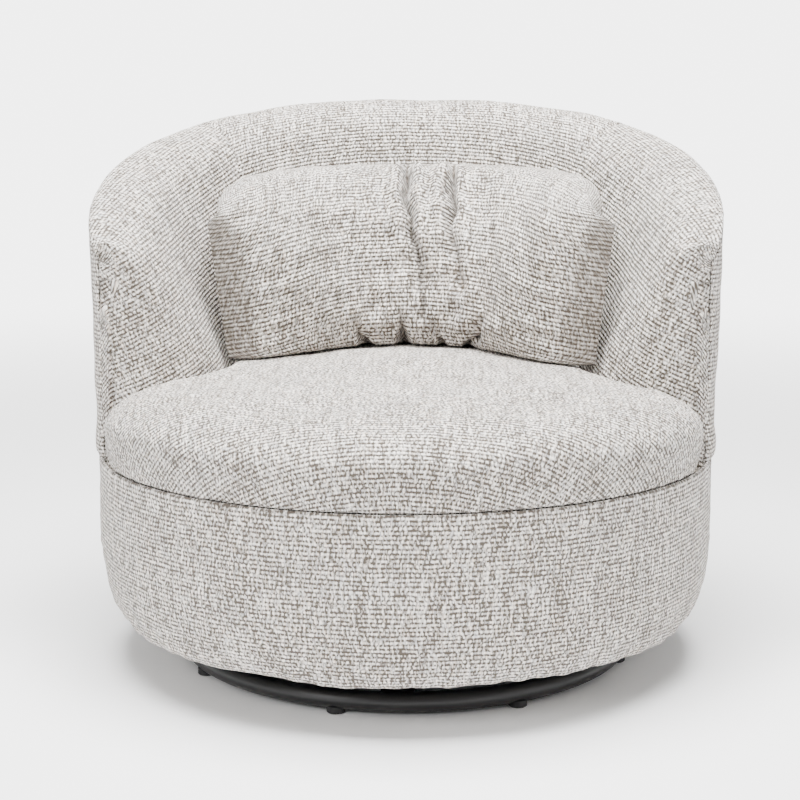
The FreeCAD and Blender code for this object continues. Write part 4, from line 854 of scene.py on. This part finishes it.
def pillowPad():
    # columns are closest where the folds are
    even = np.linspace(-1, 1, 1201)
    crowd = 1 + 2.4 * bell((even - 0.08) / 0.27) + 1.2 * ease((np.abs(even) - 0.86) / 0.14)
    crowd = np.concatenate([[0], np.cumsum(crowd[1:] + crowd[:-1])])
    across = np.interp(np.linspace(0, crowd[-1], pillow["columns"]), crowd, even)
    even = np.linspace(-1, 1, pillow["rows"])
    p, q = np.meshgrid(across, 0.35 * np.sin(even * math.pi / 2) + 0.65 * even, indexing="ij")
    full = (1 - np.abs(p) ** pillow["endPower"]) ** pillow["endRound"]
    angle = pillow["end"] * p + pillow["turn"]
    seamDepth = pillow["endGap"] + (pillow["seamShare"] * pillow["thick"] - pillow["endGap"]) * full
    corner = 1 - (1 - np.abs(p) ** pillow["cornerPower"]) ** 0.5
    top = pillow["top"] - pillow["cornerDrop"] * corner - pillow["topBow"] * p ** 2
    bottom = crownAt(shell["innerRadius"] - seamDepth) + pillow["seatGap"] + pillow["seamLift"]
    height = (top + bottom) / 2 + (top - bottom) / 2 * q
    wall = faceRadius(angle, height) - pillow["gap"]
    # round over the head and boxier below, where it rests on the seat
    frontForm = np.where(q > 0, np.sqrt(1 - np.abs(q) ** pillow["headPower"]),
                         (1 - np.abs(q) ** pillow["footPower"]) ** pillow["footRound"])
    rearForm = np.sqrt(1 - np.abs(q) ** 5) * np.sqrt(1 - np.abs(p) ** 6)
    front = wall - seamDepth - (1 - pillow["seamShare"]) * pillow["thick"] * full * frontForm
    rear = wall - seamDepth * (1 - rearForm)
    # the belly sags until it lies on the seat: a soft maximum of its height and the seat's
    hung = height - pillow["sag"] * full * bell((q - pillow["sagAt"]) / pillow["sagReach"])
    rest = crownAt(front) + pillow["seatGap"]
    hung = (hung + rest + np.sqrt((hung - rest) ** 2 + pillow["restBlend"] ** 2)) / 2
    lift = pillow["lift"] * full * bell((1 - q) / pillow["liftReach"])
    turn = np.radians(angle)
    front = aroundAxis(front, turn, height + (hung - height + lift) * np.clip(frontForm * 2.2, 0, 1))
    back = aroundAxis(rear, turn, height + lift * np.clip(rearForm * 2.2, 0, 1))
    cloth = np.stack([runLength(front, k, p.shape[k] // 2) for k in (0, 1)], -1)
    fromEnd, fromTop = 1 - np.abs(p), 1 - np.abs(q)
    edge = np.minimum(fromEnd, fromTop)
    rise = sum(high * ripple(cloth, wave, seed) for high, wave, seed in pillow["swells"]) * ease(edge / 0.2)
    # fine gathers along the seams
    along = np.where(fromEnd < fromTop, cloth[..., 1], cloth[..., 0])
    gathers = ripple(np.stack([along, 0 * along], -1), pillow["gatherWave"], 73, 6) * bell((edge - 0.06) / 0.08)
    rise = rise + pillow["gather"] * gathers
    flat = front[..., [0, 2]]
    flat[..., 0] += pillow["wander"] * ripple(flat, pillow["wanderWave"], 74)
    # painted shade starts at the pillow's ends, where it meets the arms. Each fold then sinks, gets painted shade
    # along its line as dark as it is deep, and stands up in a lip on both sides
    shade = pillow["endShade"] * bell(fromEnd / pillow["endReach"])
    for points, depth, reach, start, end in pillow["folds"]:
        near, along = lineDistance(flat, np.array(points))
        deep = depth * (start + (end - start) * ease(along))
        rise = rise - deep * np.exp(-(near / reach) ** pillow["foldPower"])
        dark = pillow["foldShade"] * np.clip(deep / 0.02, 0, 1) * bell(near / (0.55 * reach))
        shade = np.maximum(shade, dark)
        rise = rise + pillow["lip"] * deep * bell((near - pillow["lipAt"] * reach) / (pillow["lipReach"] * reach))
    fade = ease(fromEnd / 0.035) * ease((1 - q) / 0.07)
    rise = rise * fade * np.where(rise > 0, ease((q + 0.78) / 0.20), ease((1 + q) / 0.12))
    front = front + gridNormals(front, front - back + 1e-9) * rise[..., None]
    return padPiece("lumbarPillow", front, back, np.concatenate([cloth, shade[..., None]], -1),
                    tweedMaterial("tweedPillow", 7, fineness=0.92, shadedCreases=True))


# cloth under the drum, with its staples: a staple's path goes along it, in shares of its width, and up
under = {"inner": 0.1255, "outer": 0.2965, "height": 0.0484, "thick": 0.0006, "sag": 0.0002, "sagWave": 0.07,
         "staples": 46, "stapleRadius": 0.2905, "stapleWidth": 0.011, "stapleWire": 0.0007, "stapleDrop": 0.0002,
         "stapleSkew": 0.12, "staplePath": [(-0.5, 0.0016), (-0.5, 0.0), (-0.47, -0.0005), (0.47, -0.0005),
                                            (0.5, 0.0), (0.5, 0.0016)]}


# a flat ring that hangs a little between its two edges
def dustCloth():
    radius = np.linspace(under["inner"], under["outer"], 26)
    turn = np.linspace(0, 2 * math.pi, 241)[:-1]
    r, t = np.meshgrid(radius, turn, indexing="ij")
    plan = np.stack([r * np.cos(t), r * np.sin(t)], -1)
    hang = np.sin(math.pi * (r - under["inner"]) / (under["outer"] - under["inner"]))
    z = under["height"] - under["sag"] * hang * (1 + ripple(plan, under["sagWave"], 81))
    low = np.concatenate([plan, z[..., None]], -1)
    loop = np.concatenate([low, (low + np.array([0, 0, under["thick"]]))[::-1]])
    cloth = np.concatenate([loop[..., :2], loop[:1, :, :2]])
    cloth = np.concatenate([cloth, cloth[:, :1]], 1)
    return gridPiece("underCloth", loop, cloth, finishes["black_cloth"], closedA=True, closedB=True)


# each staple is a square wire along its path, and they stand in a ring, a little askew
def staples():
    path = np.array(under["staplePath"])[:, None]
    wire = np.array([(-1, -1), (1, -1), (1, 1), (-1, 1)]) * under["stapleWire"] / 2
    i = np.arange(under["staples"])
    turn = 2 * math.pi * (i + 0.3) / under["staples"]
    tilt = turn + math.pi / 2 + under["stapleSkew"] * np.sin(7 * i)
    middle, way = (np.stack([np.cos(a), np.sin(a)], -1)[:, None, None] for a in (turn, tilt))
    side = way[..., ::-1] * np.array([-1, 1])
    plan = middle * under["stapleRadius"] + way * (path[..., :1] * under["stapleWidth"]) + side * wire[:, :1]
    up = under["height"] - under["stapleDrop"] + path[..., 1] + wire[:, 1]
    points = np.concatenate([plan, np.broadcast_to(up, plan.shape[:3])[..., None]], -1)
    size = points[0, ..., 0].size
    # each wall's corners go along the wire's side first
    walls = np.roll(gridFaces(*points.shape[1:3], closedB=True)[0][:, ::-1], 1, axis=1)
    faces = np.concatenate([walls, [range(4), range(size - 4, size)]])
    faces = (faces[None] + size * i[:, None, None]).reshape(-1, 4)
    return finishMesh("staples", points.reshape(-1, 3), faces, finishes["zinc_steel"])


arm = armShape()
softPieces = [
    (backPanel(), "seat_body", ["back_panel_cover", "back_foam"], 0.85),
    (armPad("leftArmPad", -1, 21, arm), "seat_body", ["left_arm_cover"], 0.85),
    (armPad("rightArmPad", 1, 22, arm), "seat_body", ["right_arm_cover"], 0.85),
    (outerBack(), "seat_body", ["outer_back_cover", "outer_wadding"], 0.9),
    (drumPad(), "seat_body", ["drum_cover", "drum_foam"], 0.9),
    (seatPad(), "seat_body", ["seat_cover", "seat_foam"], 0.8),
    (pillowPad(), "lumbar_pillow", ["pillow_cover", "pillow_filling"], 0.6),
]
for piece, body, nodes, fill in softPieces:
    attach(piece, body)
    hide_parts(*nodes)
lining = dustCloth()
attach(lining, "seat_body")
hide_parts("dust_cover")
pins = staples()
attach(pins, "seat_body")
print("soft pieces made")


# Floor, light and camera. The floor brightens with its distance from the chair, for the camera only, so that no
# horizon shows. Each light has its place, its aim, its size and its watts.
studio = {"floor": (0.90, 0.90, 0.90, 1), "world": (1.0, 1.0, 1.0, 1), "black": (0, 0, 0, 1), "reach": 30.0,
          "worldStrength": 0.52, "worldSeen": 5.0, "fadeFrom": 0.7, "fadeTo": 4.2, "floorRoughness": 0.9,
          "floorSpecular": 0.1,
          "lights": {"topLight": ((0.0, -0.4, 3.0), (0, 0, 0.3), (2.0, 1.8), 440),
                     "frontLight": ((-2.2, -3.0, 2.1), (0, 0, 0.35), (1.4, 1.4), 98),
                     "sideLight": ((2.6, -1.4, 1.6), (0, 0, 0.35), (1.8, 1.8), 26)},
          "lens": 77.26, "sensor": 36, "shift": -5.5 / 800, "cameraSpot": (0.0710, -2.1989, 0.705),
          "cameraDown": 9.78, "cameraTurn": 1.85}


def areaLight(name, spot, aim, size, power):
    lamp = bpy.data.lights.new(name, "AREA")
    lamp.shape = "RECTANGLE"
    lamp.size, lamp.size_y = size
    lamp.energy = power
    holder = bpy.data.objects.new(name, lamp)
    holder.location = spot
    way = mathutils.Vector(aim) - mathutils.Vector(spot)
    holder.rotation_euler = way.to_track_quat("-Z", "Y").to_euler()
    bpy.context.scene.collection.objects.link(holder)


def studioRoom():
    mesh = bpy.data.meshes.new("floor")
    corners = [(-1, -1), (1, -1), (1, 1), (-1, 1)]
    mesh.from_pydata([(x * studio["reach"], y * studio["reach"], 0) for x, y in corners], [], [(0, 1, 2, 3)])
    material, tree = newMaterial("paleFloor")
    spot = node(tree, "ShaderNodeTexCoord")
    away = node(tree, "ShaderNodeVectorMath", {"operation": "LENGTH"}, i0=spot.outputs["Object"])
    seen = node(tree, "ShaderNodeLightPath")
    far = rangeMap(tree, away.outputs["Value"], studio["fadeFrom"], studio["fadeTo"], way="SMOOTHSTEP")
    shown = maths(tree, "MULTIPLY", far, seen.outputs["Is Camera Ray"])
    colour = colourMix(tree, maths(tree, "SUBTRACT", 1.0, shown), studio["black"], studio["floor"])
    # clear from below, so that the underside can be looked at
    below = node(tree, "ShaderNodeNewGeometry").outputs["Backfacing"]
    for label, value in (("Base Color", colour), ("Alpha", maths(tree, "SUBTRACT", 1.0, below)),
                         ("Emission Color", colourMix(tree, shown, studio["black"], studio["world"])),
                         ("Emission Strength", studio["worldSeen"]), ("Roughness", studio["floorRoughness"]),
                         ("Specular IOR Level", studio["floorSpecular"])):
        plug(tree, tree.nodes["Principled BSDF"].inputs[label], value)
    mesh.materials.append(material)
    floor = bpy.data.objects.new("floor", mesh)
    bpy.context.scene.collection.objects.link(floor)
    world = bpy.data.worlds.new("studio")
    world.use_nodes = True
    tree = world.node_tree
    # the backdrop shows brighter than it lights
    seen = node(tree, "ShaderNodeLightPath").outputs["Is Camera Ray"]
    strength = rangeMap(tree, seen, 0, 1, (studio["worldStrength"], studio["worldSeen"]))
    for socket, value in zip(tree.nodes["Background"].inputs, (studio["world"], strength)):
        plug(tree, socket, value)
    bpy.context.scene.world = world
    for name, values in studio["lights"].items():
        areaLight(name, *values)


studioRoom()
view = bpy.data.cameras.new("camera")
view.lens = studio["lens"]
view.sensor_width = studio["sensor"]
view.shift_x = studio["shift"]
camera = bpy.data.objects.new("camera", view)
camera.location = studio["cameraSpot"]
camera.rotation_euler = (math.radians(90 - studio["cameraDown"]), 0, math.radians(studio["cameraTurn"]))
bpy.context.scene.collection.objects.link(camera)
bpy.context.scene.camera = camera

print("scene ready")
